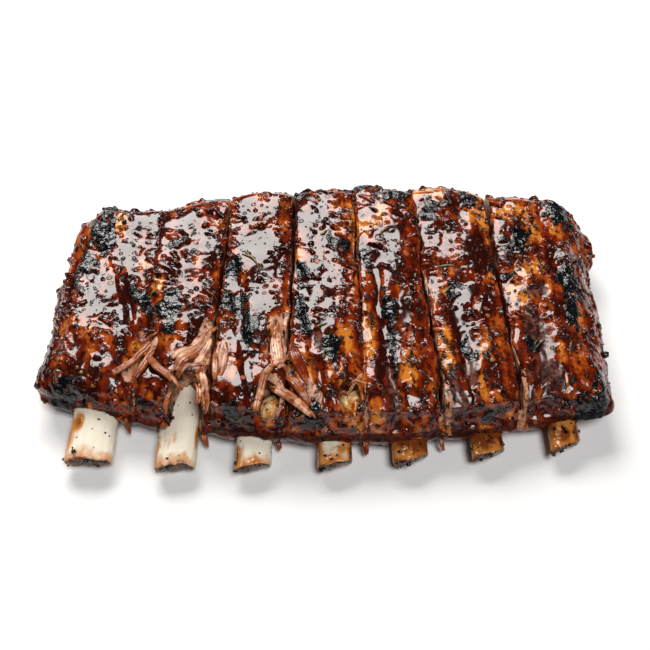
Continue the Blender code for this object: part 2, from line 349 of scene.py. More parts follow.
def mask(p, spots, ragged):
    """1 inside the spots and 0 outside them, with rims made ragged by noise."""
    result = np.zeros(len(p))
    for x, y, wide, long, turn in spots:
        reach = 1.6 * max(wide, long)
        near = np.flatnonzero((np.abs(p[:, 0] - x) < reach) & (np.abs(p[:, 1] - y) < reach))
        dx, dy = p[near, 0] - x, p[near, 1] - y
        c, s = math.cos(math.radians(turn)), math.sin(math.radians(turn))
        away = np.hypot((c * dx + s * dy) / wide, (c * dy - s * dx) / long)
        result[near] = np.maximum(result[near], 1 - smooth(0.65, 1.2, away + ragged[near]))
    return result


print("spots:", sum(len(spots) for spots in (CHAR, POOLS, AMBER, DRY, TORN)))

# %% [markdown]
# ## A fine copy of the meat
#
# The packed slab has faces millimetres wide, far too coarse for bumps of half a millimetre. Subdividing it
# would keep its uneven triangles. A voxel remesh instead wraps it in small squares of one size, and a little
# smoothing takes the stair steps out. The packed mesh is loose triangles, so the copy's doubles are merged
# first.


# %% A fine copy of the meat
def evaluated_mesh(obj):
    """The mesh that an object's modifiers make. The object itself is removed."""
    mesh = bpy.data.meshes.new_from_object(obj.evaluated_get(bpy.context.evaluated_depsgraph_get()))
    bpy.data.objects.remove(obj)
    return mesh


def relax(obj, passes, group=""):
    """Smooths an object that many times, by the weights of a vertex group if one is named."""
    modifier = obj.modifiers.new("relax", "SMOOTH")
    modifier.factor = 0.5
    modifier.iterations = passes
    modifier.vertex_group = group


def fine_copy(node, voxel, passes):
    """A copy of a node in squares of that many mm, smoothed a few times."""
    bm = bmesh.new()
    bm.from_mesh(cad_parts[node].data)
    bmesh.ops.remove_doubles(bm, verts=bm.verts, dist=SAME_PLACE)
    obj = as_object(node + "_fine", as_mesh(node, bm))
    remesh = obj.modifiers.new("remesh", "REMESH")
    remesh.mode = "VOXEL"
    remesh.voxel_size = voxel * MM
    relax(obj, passes)
    return evaluated_mesh(obj)


def normals_of(mesh):
    """The direction in which a mesh's surface faces at each point."""
    return vectors(mesh.vertex_normals, "vector")


SAME_PLACE = 1e-6
MEAT_SQUARE, MEAT_PASSES = 0.6, 6
mesh = fine_copy("rib_meat", MEAT_SQUARE, MEAT_PASSES)
p, n = points_mm(mesh), normals_of(mesh)
print("meat:", len(mesh.vertices), "points")

# %% [markdown]
# ## A flat top without facets
#
# The packed slab's top is made of flat triangles, and a mirror-like glaze would show every one. Many
# smoothing passes iron them out, but they would also round the edges and close the cuts. So each point first
# learns where it is on the rack, and the smoothing is weighted: full on the open top, none near a cut, an
# edge or a torn spot.


# %% A flat top without facets
def whereabouts(p, n):
    """Signed distances from the cuts, the least of them, the distance inside the outer edges, and the top."""
    x, y, z = p.T
    near, far = near_edge(x), far_edge(x)
    share = np.clip((y - near) / (far - near), 0, 1)
    from_cuts = np.stack([x - lerp(a, b, share) for a, b in CUTS])
    outer = np.minimum(np.minimum(y - near, far - y), np.minimum(x - LEFT_END, RIGHT_END - x))
    up = smooth(0.15, 0.55, n[:, 2]) * smooth(11, 15, z)
    return from_cuts, np.abs(from_cuts).min(axis=0), outer, up


def smoothed(mesh, weight, passes):
    """Relaxes the mesh where the weight is 1, less where it is lower, and not at all where it is 0."""
    obj = as_object("smoothed", mesh)
    group = obj.vertex_groups.new(name="weight")
    for step in range(1, 11):
        group.add(np.flatnonzero(np.round(weight * 10) == step).tolist(), step / 10, "REPLACE")
    relax(obj, passes, "weight")
    return evaluated_mesh(obj)


_, from_cut, outer, up = whereabouts(p, n)
flat_top = up * smooth(2.0, 4.5, from_cut) * smooth(2, 6, outer) * (1 - mask(p, TORN, 0 * up))
IRONING_PASSES = 60
mesh = smoothed(mesh, flat_top, IRONING_PASSES)
p, n = points_mm(mesh), normals_of(mesh)
print(f"smoothed: {(flat_top > 0.5).mean():.0%} of the points")

# %% [markdown]
# ## The tunnels of the bones
#
# The meat is hollow where the bones run through it. Those walls must not move, or they would cut into the
# bones. `beside_bones` finds them: it follows each bone's gentle arch from end to end.


# %% The tunnels of the bones
BONE_UP, BONE_RISE, RISEN_AT, BONE_ARCH = 5.4, 3.2, 0.45, 2.4  # in mm, but RISEN_AT is a share of the way
SKIN = 0.9  # mm of meat round a bone that stays still


def beside_bones(p, outer):
    """1 where the meat lies against a bone inside the slab."""
    x, y, z = p.T
    hidden = np.zeros(len(p))
    for a, b, half_width, half_height in BONES:
        t = np.clip((y - a[1]) / (b[1] - a[1]), 0, 1)
        bone_z = BONE_UP + BONE_RISE * np.clip(t / RISEN_AT, 0, 1) + BONE_ARCH * np.sin(np.pi * t)
        across = (x - lerp(a[0], b[0], t)) / (half_width + SKIN)
        away = np.hypot(across, (z - bone_z) / (half_height + SKIN))
        hidden = np.maximum(hidden, (away < 1.05) * smooth(0, 1.5, outer))
    return hidden


print(f"beside the bones: {beside_bones(p, outer).mean():.0%} of the points")

# %% [markdown]
# ## The lips of the cuts
#
# A cut opens a little in the oven, and its pale inside shows along one edge, in some stretches only. Each
# stretch is a cut, the side it is on (-1 left, 1 right), where it starts and stops along the rib, and its
# width in mm. The lip is lowered and painted. The wall below it is painted too, because the eye looks down
# into the gap.

# %% The lips of the cuts
LIPS = (
    (0, -1, -45, -15, 1.2), (1, 1, -50, -14, 0.9), (1, -1, -34, -6, 1), (1, 1, 38, 50, 1.3),
    (1, -1, 41, 50, 1), (2, -1, -30, 48, 0.6), (2, -1, 48, 62, 1.2), (3, 1, -60, -42, 1.2),
    (3, 1, 8, 22, 0.6), (4, 1, -62, -44, 2.5), (4, -1, -62, -50, 0.9), (4, 1, -44, -20, 1.2),
    (4, 1, -3, 10, 1), (5, 1, -60, -40, 1.5), (5, 1, -34, -18, 0.5), (5, 1, 16, 46, 1.5),
    (5, -1, 48, 64, 1.4), (5, 1, 50, 64, 1.5),
)


def lips(p, from_cuts):
    """How much a point belongs to a pale lip, and to the bare wall under one."""
    lip, bare_wall = np.zeros(len(p)), np.zeros(len(p))
    for cut, side, start, stop, width in LIPS:
        away = from_cuts[cut] * side
        along = smooth(stop + 5, stop - 2, p[:, 1]) * smooth(start - 5, start + 2, p[:, 1])
        beyond = np.exp(-(((away - 0.6 * width) / width) ** 2)) * (away > -0.3)
        lip = np.maximum(lip, beyond * along)
        bare_wall = np.maximum(bare_wall, (np.abs(away) < 3.5) * (away > -1.0) * along)
    broken = smooth(-0.5, 0.3, lumps(p, (3.0, 6.0, 5.0), 13))
    return lip * broken, bare_wall * (0.3 + 0.7 * broken)


print("pale stretches:", len(LIPS))

# %% [markdown]
# ## Cuts that wander
#
# A knife cut in meat isn't straight, and sticky glaze draws some stretches of it nearly shut. So the two
# walls move sideways: together where noise bends the cut, and towards each other where it is tight. A tight
# stretch is a cut, where it starts and stops, and the share by which it closes.

# %% Cuts that wander
TIGHT = (
    (0, 8, 70, 0.85), (0, -60, -32, 0.5), (1, 25, 70, 0.55), (1, -60, 25, 0.3), (2, 20, 55, 0.25),
    (2, 53, 70, 0.9), (2, -60, 20, 0.4), (3, 45, 70, 0.8), (3, 0, 45, 0.45), (3, -60, 0, 0.6),
    (4, 12, 70, 0.9), (4, -25, 12, 0.4), (5, 5, 45, 0.25), (5, -35, 5, 0.5),
)


def wander(p, from_cuts, from_cut):
    """How far a point near a cut moves in x, in mm."""
    nearest = np.abs(from_cuts).argmin(axis=0)
    along = p * (0, 1, 0) + nearest[:, None] * 37.3
    bend = 0.9 * lumps(along, 16.0, 61) + 0.5 * lumps(along, 6.0, 62)
    tight = np.zeros(len(p))
    for cut, start, stop, share in TIGHT:
        here = (np.abs(from_cuts[cut]) < 9) * smooth(start - 4, start + 4, p[:, 1])
        tight = np.maximum(tight, here * smooth(stop + 4, stop - 4, p[:, 1]) * share)
    tight = np.clip(tight + 0.25 * lumps(along, 9.0, 63), 0, 0.9)
    signed = np.take_along_axis(from_cuts, nearest[None], 0)[0]
    shut = signed * tight * np.exp(-((from_cut / 4) ** 2)) * smooth(10, 17, p[:, 2])
    return bend * np.exp(-((from_cut / 6) ** 2)) * smooth(13, 20, p[:, 2]) - shut


print("tight stretches:", len(TIGHT))

# %% [markdown]
# ## Swells, furrows and bulges
#
# The largest forms come first. Muscle swells in soft mounds. Beside each bone it has shrunk into a furrow,
# and at the corners it bulges into knobs. A furrow is its x at the near and at the far end, where it starts
# and stops along the rib, its half width and its depth. A bulge is its middle, its radius and its height.

# %% Swells, furrows and bulges
FURROWS = (
    (-27, -38.5, -50, 22, 2.8, 1.7), (-1, -11.5, -52, 22, 2.8, 1.7), (27, 18, -60, 24, 3, 2.4),
    (55.5, 49.5, -62, 4, 3.2, 2.6), (80, 84, -62, -2, 5, 2), (-75.5, -83, -13, 14, 2.2, 2),
    (-63, -70, -36, -12, 3, 1.8),
)
BULGES = (
    (107, 41, 14, 6, 3.4), (108, 33, 12, 6, 3.4), (104, -4, 12, 7, 2), (-93, 47, 27, 6.5, 4.5),
    (104, -46, 16, 8, 2), (-93, 36, 29, 7, 1.5), (15, 63, 27, 6, 2.5), (-105, 10, 16, 7, 2),
    (-104, 34, 16, 7, 2), (-107, -32, 14, 7, 1.5), (47, 65, 26, 7, 1.5),
)


def furrows(p):
    """The depth of the furrow at each point, in mm."""
    deepest = np.zeros(len(p))
    for near_x, far_x, start, stop, half, depth in FURROWS:
        t = (p[:, 1] - start) / (stop - start)
        middle = lerp(near_x, far_x, np.clip(t, 0, 1))
        across = (p[:, 0] - middle + 1.2 * lumps(p, 14.0, 5)) / half
        ends = smooth(-0.1, 0.1, t) * smooth(1.1, 0.8, t)
        deepest = np.maximum(deepest, depth * np.exp(-(across**2)) * ends)
    return deepest


def broad_form(p, pool, furrow, up):
    """The height of the large forms over the plain slab, in mm."""
    broad = 0.7 * lumps(p, 26.0, 1) + (0.8 - 0.5 * pool) * lumps(p, (9.0, 13.0, 12.0), 2) - furrow * up
    for x, y, *_ in POOLS:
        if y < -8:  # the slab falls away here, so these pools tip back to face the softbox
            near = np.flatnonzero((np.abs(p[:, 0] - x) < 12) & (np.abs(p[:, 1] - y) < 15))
            dx, dy = p[near, 0] - x, p[near, 1] - y
            tilt = np.exp(-((dx / 6) ** 2) - (dy / 8) ** 2)
            broad[near] += np.clip(-0.13 * dy, -0.9, 0.9) * tilt * up[near]
    for *middle, radius, rise in BULGES:
        away = np.linalg.norm(p - middle, axis=1) / radius
        broad += rise * np.exp(-(away**2)) * (1 + 0.4 * lumps(p, 5.0, 6))
    return broad


print("furrows:", len(FURROWS), "bulges:", len(BULGES))

# %% [markdown]
# ## Lumps of meat in a level of glaze
#
# This is the heart of the lesson. Meat gives a rough relief, longer along the ribs than across them, with
# crumbs of rub on it. Glaze is a liquid: it fills the hollows to a level and leaves the lumps standing out.
# So the surface is the larger of two heights, the meat and the glaze. Plain noise has no such level parts,
# and it never looks wet, because it is the level parts that mirror the softbox.


# %% Lumps of meat in a level of glaze
def meat_lumps(p, pool, edge, up):
    """The relief of the meat and its rub, in mm."""
    slant = p @ np.array(((0.82, 0.57, 0.0), (-0.57, 0.82, 0.0), (0.0, 0.0, 1.0)))
    meat = 0.8 * lumps(p, (6.0, 11.4, 6.0), 21) + 0.45 * lumps(slant, (4.2, 2.2, 3.0), 22)
    meat += 0.12 * lumps(p, (1.8, 3.4, 1.8), 23)
    meat += 1.1 * smooth(0.18, 0.75, lumps(slant, (4.6, 1.9, 3.5), 26)) * up
    away, own = grains(p, 3.6, 24)
    meat += np.where(own > 0.45, (0.7 + 0.5 * pool) * np.exp(-((away / 0.75) ** 2)), 0)
    return meat * (1 - 0.35 * pool + 0.25 * edge)


def glaze_level(p, pool, furrow, edge):
    """The height that the glaze fills to, in mm: higher on the open upper part, which was basted most."""
    basted = smooth(-8, 20, p[:, 1]) * smooth(55, 20, p[:, 0])
    return 0.15 + 0.2 * lumps(p, 9.0, 25) + 0.2 * pool + 0.25 * furrow + 0.10 * basted - 0.3 * edge


edge = 1 - smooth(3, 9, outer)
standing = meat_lumps(p, 0 * up, edge, up) > glaze_level(p, 0 * up, 0 * up, edge)
print(f"{standing[up > 0.5].mean():.0%} of the top stands out of the glaze")

# %% [markdown]
# ## Everything about a point
#
# Now the pieces come together. For every point, `describe` works out its height and how much of each finish
# it has. Each kind of place has its own relief: crust on the char, long fibres where meat was torn, soft
# ripples in a cut. The finishes are kept as numbers from 0 to 1, so that the material can paint them later.


# %% Everything about a point
def masks(p, up, wall, under):
    """The share of each listed finish at each point."""
    ragged = 0.35 * lumps(p, (5.0, 8.0, 5.0), 11) + 0.3 * lumps(p, (2.2, 3.2, 2.2), 12)
    high = np.maximum(smooth(12, 20, p[:, 2]), smooth(80, 95, np.abs(p[:, 0])))
    return {
        "char": mask(p, CHAR, 0.15 + 1.6 * ragged) * (1 - wall) * (1 - under) * high,
        "pool": mask(p, POOLS, 0.7 * ragged) * up,
        "amber": mask(p, AMBER, ragged) * up,
        "dry": mask(p, DRY, ragged) * up,
        "torn": mask(p, TORN, 0.6 * ragged) * (1 - under),
    }


def top_height(p, facts, up, outer):
    """The relief of the top, in mm, and how far the meat stands out of the glaze there."""
    edge = 1 - smooth(3, 9, outer)
    pool = facts["pool"]
    meat = meat_lumps(p, pool, edge, up)
    level = glaze_level(p, pool, facts["furrow"], edge)
    meat *= 1 - 0.55 * smooth(-8, -24, p[:, 1]) * (1 - pool)
    relief = meat - level
    glazed = level + larger(relief, 0 * relief, 0.06)
    bare = 0.3 * meat + 0.25 * lumps(p, (2.0, 7.0, 2.0), 43)
    crust = 0.3 + 0.45 * lumps(p, 4.2, 31) + 0.22 * lumps(p, 2.2, 32)
    height = lerp(glazed, bare, facts["dry"])
    height = lerp(height, glazed * 0.6 + crust, facts["char"])
    side = 0.55 * meat + 0.8 * lumps(p, (7.0, 5.0, 4.0), 54) + 0.2 * lumps(p, 2.0, 55)
    side = lerp(side, 0.4 * meat + 1.6 * crust, facts["char"])
    return lerp(side, height, up), relief


def describe(p, n):
    """For each point: its height over the plain slab, its shift in x, and the share of each finish."""
    from_cuts, from_cut, outer, up = whereabouts(p, n)
    hidden = beside_bones(p, outer)
    wall = smooth(1.5, 4, outer) * (1 - smooth(0.3, 0.7, np.abs(n[:, 2]))) * (1 - hidden)
    under = (1 - smooth(-0.6, 0.2, n[:, 2])) * (1 - hidden)
    lip, bare_wall = lips(p, from_cuts)
    lip *= smooth(1.0, 3.0, outer) * (1 - under)
    facts = masks(p, up, wall, under)
    facts["furrow"] = furrows(p)
    height, relief = top_height(p, facts, up, outer)
    height += broad_form(p, facts["pool"], facts["furrow"], up)
    height = np.minimum(height, 0.35 + 0.5 * from_cut + 9 * (1 - up)) - 0.7 * lip * up
    height = lerp(height, 0.25 * lumps(p, (2.0, 6.0, 1.4), 51) + 0.12 * lumps(p, 1.1, 52), wall)
    fibres = 0.7 * lumps(p, (1.5, 12.0, 2.0), 41) + 0.4 * lumps(p, (0.9, 6.0, 1.2), 42) - 0.5
    height = lerp(height, fibres, facts["torn"])
    height = lerp(height, 0.35 * lumps(p, 3.0, 53), under) * (1 - hidden)
    facts["height"], facts["wander"] = height, wander(p, from_cuts, from_cut)
    facts["side"] = (1 - up) * (1 - wall) * (1 - under)
    facts["dry"] = np.maximum(facts["dry"], 0.8 * facts["side"] * smooth(0, 6, 30 - p[:, 1]))
    facts["wall"], facts["inside"] = wall * (1 - facts["torn"]), wall * bare_wall * (from_cut < 4.5)
    facts["furrow"] = facts["furrow"] * up
    facts.update(relief=relief, lip=lip, up=up, outer=outer, rib=(from_cuts > 0).sum(axis=0))
    return facts


facts = describe(p, n)
print("height in mm:", facts["height"].min().round(1), "to", facts["height"].max().round(1))

# %% [markdown]
# ## Shape the meat
#
# Every point moves along its own normal by its height, and near a cut it also moves sideways. Nothing may
# sink below the floor. The finishes are stored on the mesh as attributes, because the material needs them.
# Most of the whole is then kept aside as a tree of faces, in which later steps look up the height of the
# surface.


# %% Shape the meat
FINISHES = ("relief", "char", "amber", "pool", "dry", "torn", "wall", "inside", "lip", "side", "furrow")


def store(mesh, name, values):
    """Keeps one number for each point of a mesh."""
    attribute = mesh.attributes.new(name, "FLOAT", "POINT")
    attribute.data.foreach_set("value", values.astype(np.float32))


def move(mesh, p):
    """Moves a mesh's points to new places, in mm, and none of them below the floor."""
    p[:, 2] = np.maximum(p[:, 2], 0)
    mesh.vertices.foreach_set("co", (p * MM).astype(np.float32).ravel())
    mesh.update()


meat_points = p + n * facts["height"][:, None]
meat_points[:, 0] += facts["wander"]
move(mesh, meat_points)
meat_normals = normals_of(mesh)
for finish in FINISHES:
    store(mesh, finish, facts[finish])
whole = as_object("whole", mesh)
surface_tree = BVHTree.FromObject(whole, bpy.context.evaluated_depsgraph_get())
print("top of the meat:", meat_points[:, 2].max().round(1), "mm")

# %% [markdown]
# ## Seven ribs
#
# One mesh this fine is heavy to handle, so it is divided where the eye expects it, at the six cuts. Each rib
# is a copy of the whole from which the other ribs' faces are deleted. The open rim at each end is filled, so
# that every piece is a closed solid. The rim's edges are marked sharp, so that shading runs on across the
# joint. The faces on the sides of the slab are given a second material slot, for meat that the brush didn't
# reach.


# %% Seven ribs
def belongs(piece, slot_name, *nodes):
    """Tells the library what a piece rides on and which nodes it stands for. Its slot_name is not used."""
    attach(piece, "root")
    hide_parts(*nodes)


GLAZED, UNGLAZED = 0, 1
corners = np.empty(len(mesh.loops), np.int32)
mesh.loops.foreach_get("vertex_index", corners)
quads = corners.reshape(-1, 4)
rib_of_face = facts["rib"][quads].max(axis=1)
on_side = facts["side"][quads].mean(axis=1) > 0.5
mesh.polygons.foreach_set("material_index", np.where(on_side, UNGLAZED, GLAZED).astype(np.int32))
ribs = []
for rib in range(7):
    bm = bmesh.new()
    bm.from_mesh(mesh)
    bm.faces.ensure_lookup_table()
    others = [bm.faces[i] for i in np.flatnonzero(rib_of_face != rib)]
    bmesh.ops.delete(bm, geom=others, context="FACES")
    rim = [edge for edge in bm.edges if edge.is_boundary]
    bmesh.ops.holes_fill(bm, edges=rim)
    for edge in rim:
        edge.smooth = False
    piece = as_mesh(f"rib_{rib + 1}_meat", bm)
    piece.shade_smooth()
    obj = as_object(f"rib_{rib + 1}_meat", piece)
    belongs(obj, "glazed_meat", "rib_meat")
    ribs.append(obj)
    print(obj.name, len(piece.polygons), "faces")
bpy.data.objects.remove(whole)

# %% [markdown]
# ## Short calls for a material
#
# A material is a tree of nodes, and making each node by hand takes four lines. `Graph` gives the usual ones a
# short call: `steps` is a soft threshold that turns a number into a mask, `mix` lays one colour over another
# through such a mask, and `ramp` runs through several colours. The same class also fills a node group.


# %% Short calls for a material
class Graph:
    """A node tree, with short calls to add a node and link it."""

    def __init__(self, tree):
        self.tree = tree

    def node(self, kind, inputs=None, **settings):
        made = self.tree.nodes.new(kind)
        for key, value in settings.items():
            setattr(made, key, value)
        for key, value in (inputs or {}).items():
            self.feed(made.inputs[key], value)
        return made

    def feed(self, socket, value):
        if isinstance(value, bpy.types.NodeSocket):
            self.tree.links.new(value, socket)
        elif socket.type == "RGBA":
            socket.default_value = (*value, 1.0)
        else:
            socket.default_value = value

    def math(self, operation, *values):
        made = self.node("ShaderNodeMath", operation=operation)
        for socket, value in zip(made.inputs, values):
            self.feed(socket, value)
        return made.outputs[0]

    def add(self, first, *others):
        for other in others:
            first = self.math("ADD", first, other)
        return first

    def times(self, first, *others):
        for other in others:
            first = self.math("MULTIPLY", first, other)
        return first

    def centred(self, value, gain):
        """A number from 0 to 1, moved so that its middle is 0, and scaled."""
        return self.times(self.math("SUBTRACT", value, 0.5), gain)

    def steps(self, value, low, high, to_low=0.0, to_high=1.0):
        ends = {"From Min": low, "From Max": high, "To Min": to_low, "To Max": to_high}
        made = self.node("ShaderNodeMapRange", {"Value": value, **ends}, interpolation_type="SMOOTHSTEP")
        return made.outputs["Result"]

    def mix(self, share, a, b, kind="RGBA"):
        """b over a by that share: colours, or numbers with the kind FLOAT."""
        made = self.node("ShaderNodeMix", data_type=kind)
        self.feed(made.inputs["Factor"], share)
        wanted = "RGBA" if kind == "RGBA" else "VALUE"
        sides = [socket for socket in made.inputs if socket.type == wanted and socket.name in "AB"]
        for socket, value in zip(sides, (a, b)):
            self.feed(socket, value)
        return next(socket for socket in made.outputs if socket.type == wanted)

    def ramp(self, value, colour, *stages):
        """One colour turning into others. A stage is where it starts, where it is full, and its colour."""
        for low, high, next_colour in stages:
            colour = self.mix(self.steps(value, low, high), colour, next_colour)
        return colour

    def attribute(self, name):
        return self.node("ShaderNodeAttribute", attribute_name=name).outputs["Fac"]

    def bump(self, height, distance=0.001):
        return self.node("ShaderNodeBump", {"Height": height, "Distance": distance}).outputs["Normal"]


def new_material(name):
    """A material, its graph and what goes into its Principled BSDF."""
    material = bpy.data.materials.new(name)
    material.use_nodes = True
    return material, Graph(material.node_tree), material.node_tree.nodes["Principled BSDF"].inputs


print("short calls:", [name for name in vars(Graph) if name[0] != "_"])

# %% [markdown]
# ## Effects that several finishes share
#
# Meat, bone and herbs all use the same few effects, so each is a node group, built once and placed with its
# own values. `Unevenness` is noise in the object's own space, stretched along the ribs where it should look
# like grain. `Patches` is that noise cut off at a threshold, for stains. `Three shades` gives each small bit
# one of three colours by its own number. A group gives out colours and masks only: the shader stays in the
# material.


# %% Effects that several finishes share
def new_group(name, sockets, result, kind):
    """An empty node group with named sockets, its graph, what comes in and where the result goes."""
    tree = bpy.data.node_groups.new(name, "ShaderNodeTree")
    for label, socket_type, value in sockets:
        socket = tree.interface.new_socket(label, in_out="INPUT", socket_type=socket_type)
        socket.default_value = value
    tree.interface.new_socket(result, in_out="OUTPUT", socket_type=kind)
    g = Graph(tree)
    return tree, g, g.node("NodeGroupInput").outputs, g.node("NodeGroupOutput").inputs[result]


def noise_in(g, given):
    """Noise in the object's own space, set by a group's sockets."""
    where = g.node("ShaderNodeTexCoord").outputs["Object"]
    place = g.node("ShaderNodeMapping", {"Vector": where, "Scale": given["Stretch"]}).outputs["Vector"]
    settings = {"Vector": place, "Scale": given["Scale"], "Detail": given["Detail"]}
    return g.node("ShaderNodeTexNoise", settings).outputs["Fac"]


NUMBER, ARROW, COLOUR = "NodeSocketFloat", "NodeSocketVector", "NodeSocketColor"
NOISE_SOCKETS = [("Scale", NUMBER, 100.0), ("Detail", NUMBER, 2.0), ("Stretch", ARROW, (1.0, 1.0, 1.0))]

UNEVENNESS, g, given, out = new_group("Unevenness", NOISE_SOCKETS, "Value", NUMBER)
g.feed(out, noise_in(g, given))

patch_sockets = NOISE_SOCKETS + [("From", NUMBER, 0.4), ("To", NUMBER, 0.6)]
PATCHES, g, given, out = new_group("Patches", patch_sockets, "Mask", NUMBER)
g.feed(out, g.steps(noise_in(g, given), given["From"], given["To"]))

shade_sockets = [("Tint", NUMBER, 0.0)] + [(name, COLOUR, (0, 0, 0, 1)) for name in ("Low", "Middle", "High")]
THREE_SHADES, g, given, out = new_group("Three shades", shade_sockets, "Color", COLOUR)
stages = (0.25, 0.41, given["Middle"]), (0.59, 0.75, given["High"])
g.feed(out, g.ramp(given["Tint"], given["Low"], *stages))


def placed(g, tree, sockets):
    """A node group in a material, with its own values. Gives its one output."""
    made = g.node("ShaderNodeGroup", node_tree=tree)
    for label, value in sockets.items():
        g.feed(made.inputs[label], value)
    return made.outputs[0]


def uneven(g, scale, detail=2.0, stretch=(1, 1, 1)):
    return placed(g, UNEVENNESS, {"Scale": scale, "Detail": detail, "Stretch": stretch})


def patches(g, scale, low, high, detail=2.0):
    return placed(g, PATCHES, {"Scale": scale, "Detail": detail, "From": low, "To": high})


print("groups:", [tree.name for tree in bpy.data.node_groups])

# %% [markdown]
# ## Glaze
#
# Glaze is one liquid, dark red-brown sugar, and its colour depends on how thick it is: thin, it is orange,
# then rust, then mahogany, and where it gathers it is almost black. So the material works out a thickness
# first, and one ramp of colours follows from it. Three separate stains laid over each other would look like
# camouflage. The streaks run along the ribs, as the brush and the meat's own grain do.

# %% Glaze
BLACK = (0.0040, 0.0016, 0.0014)
DEEP = (0.026, 0.0028, 0.0012)
MAHOGANY = (0.150, 0.0130, 0.0018)
RUST = (0.33, 0.054, 0.0050)
ORANGE = (0.56, 0.180, 0.022)

material, g, shader = new_material("glazed_meat_fine")
relief = g.attribute("relief")
fine = g.centred(uneven(g, 640), 1.0)
blotch = uneven(g, 120)
streak = uneven(g, 160, 2, (1, 0.22, 1))
marble = uneven(g, 420, 2, (1, 0.4, 1))
relief = g.add(relief, g.times(fine, 0.4))
stands_out = g.steps(relief, 0.0, 0.08)
below = g.math("MAXIMUM", g.times(relief, -1.0), 0.0)

object_space = g.node("ShaderNodeTexCoord").outputs["Object"]
right = g.steps(g.node("ShaderNodeSeparateXYZ", {"Vector": object_space}).outputs["X"], -0.01, 0.06)
pool, amber, furrow = (g.attribute(name) for name in ("pool", "amber", "furrow"))
thickness = g.add(0.58, g.centred(blotch, 1.0), g.centred(streak, 2.3), g.centred(marble, 0.30))
thicker = (amber, -0.46), (right, -0.07), (pool, 0.34), (furrow, 0.16), (stands_out, 0.14), (below, 0.12)
for part, weight in thicker:
    thickness = g.add(thickness, g.times(part, weight))
colour = g.ramp(thickness, ORANGE, (0.00, 0.36, RUST), (0.28, 0.62, MAHOGANY), (0.60, 1.00, DEEP))
colour = g.mix(g.times(stands_out, g.steps(marble, 0.50, 0.64)), colour, DEEP)
print("glaze:", len(g.tree.nodes), "nodes")

# %% [markdown]
# ## Spice and bubbles in the glaze
#
# Crushed spice and sugar bubbles are held in the glaze, each under a millimetre. There are thousands, too
# many to model, so they are cells of a Voronoi texture: a dark or rusty dot where a cell's number says so,
# and a thin ring where a bubble has dried. Both also lift the surface a little, further down.

# %% Spice and bubbles in the glaze
cell = g.node("ShaderNodeTexVoronoi", {"Vector": object_space, "Scale": 300.0})
pick = g.node("ShaderNodeSeparateColor", {"Color": cell.outputs["Color"]})
away, own, other = cell.outputs["Distance"], pick.outputs["Red"], pick.outputs["Green"]
size = g.times(g.steps(own, 0.30, 1.0, 0.05, 0.30), g.steps(other, 0, 1, 0.6, 1.2))
spice = g.times(g.steps(g.math("SUBTRACT", away, size), 0.06, -0.06), g.steps(own, 0.33, 0.37))
bubble = g.steps(g.math("ABSOLUTE", g.math("SUBTRACT", away, 0.30)), 0.10, 0.02)
bubble = g.times(bubble, g.steps(other, 0.80, 0.84), g.steps(own, 0.45, 0.35))
colour = g.mix(bubble, colour, RUST)
colour = g.mix(spice, colour, g.mix(g.steps(other, 0.65, 0.8), BLACK, RUST))
print("with spice:", len(g.tree.nodes), "nodes")

# %% [markdown]
# ## Dry and torn meat
#
# Where the brush missed, the meat dried to a matt dark brown, and its purple-grey tint is painted sheen, a
# dim reflection laid into the colour. Where a strip was pulled off, it is pink, with the threads of the
# muscle side by side. Inside the cuts it is paler still. Each is a colour laid over the glaze through a mask:
# the stored finish plus some noise, cut off at a soft threshold, so that the rim is ragged.

# %% Dry and torn meat
TAN = (0.46, 0.20, 0.10)
FLESH = (0.52, 0.275, 0.175)
DARK_MEAT_WITH_SHEEN = (0.045, 0.012, 0.009)
DRY_MEAT_WITH_SHEEN = (0.15, 0.050, 0.032)
IN_SHADE = (0.24, 0.075, 0.035)

side = g.attribute("side")
# Painted sheen: the purple-grey tint of the dry patches stands for a dim reflection; the dark brown under it
# is the meat's.
dry_meat_and_sheen = g.mix(patches(g, 300, 0.4, 0.6), DARK_MEAT_WITH_SHEEN, DRY_MEAT_WITH_SHEEN)
dry_meat_and_sheen = g.mix(g.steps(fine, 0.1, 0.16), dry_meat_and_sheen, BLACK)
dry_meat_and_sheen = g.mix(g.steps(streak, 0.50, 0.62), dry_meat_and_sheen, MAHOGANY)
dry_meat_and_sheen = g.mix(g.times(side, 0.85), dry_meat_and_sheen, g.mix(g.steps(marble, 0.42, 0.60), DEEP, MAHOGANY))
is_dry = g.add(g.attribute("dry"), g.times(fine, 1.4), g.centred(blotch, 1.2))
is_dry = g.steps(is_dry, 0.35, 0.75)
colour = g.mix(is_dry, colour, dry_meat_and_sheen)

strand = uneven(g, 600, 2, (1, 0.15, 1))
flesh = g.mix(g.steps(strand, 0.38, 0.60), TAN, FLESH)
stained = g.mix(g.steps(strand, 0.4, 0.6), RUST, ORANGE)
flesh = g.mix(g.steps(blotch, 0.50, 0.60), flesh, stained)
is_torn = g.steps(g.add(g.attribute("torn"), fine, g.centred(strand, 0.8)), 0.35, 0.6)
colour = g.mix(is_torn, colour, flesh)

in_cut = g.steps(g.attribute("wall"), 0.35, 0.75)
colour = g.mix(in_cut, colour, g.mix(g.steps(blotch, 0.42, 0.6), MAHOGANY, IN_SHADE))
inner = g.mix(patches(g, 90, 0.40, 0.52), TAN, FLESH)
inner = g.mix(patches(g, 260, 0.50, 0.66), inner, ORANGE)
is_pale = g.add(g.times(g.attribute("lip"), 1.2), g.times(fine, 1.2))
is_pale = g.steps(g.math("MAXIMUM", g.attribute("inside"), is_pale), 0.35, 0.75)
colour = g.mix(is_pale, colour, inner)
print("with dry and torn meat:", len(g.tree.nodes), "nodes")
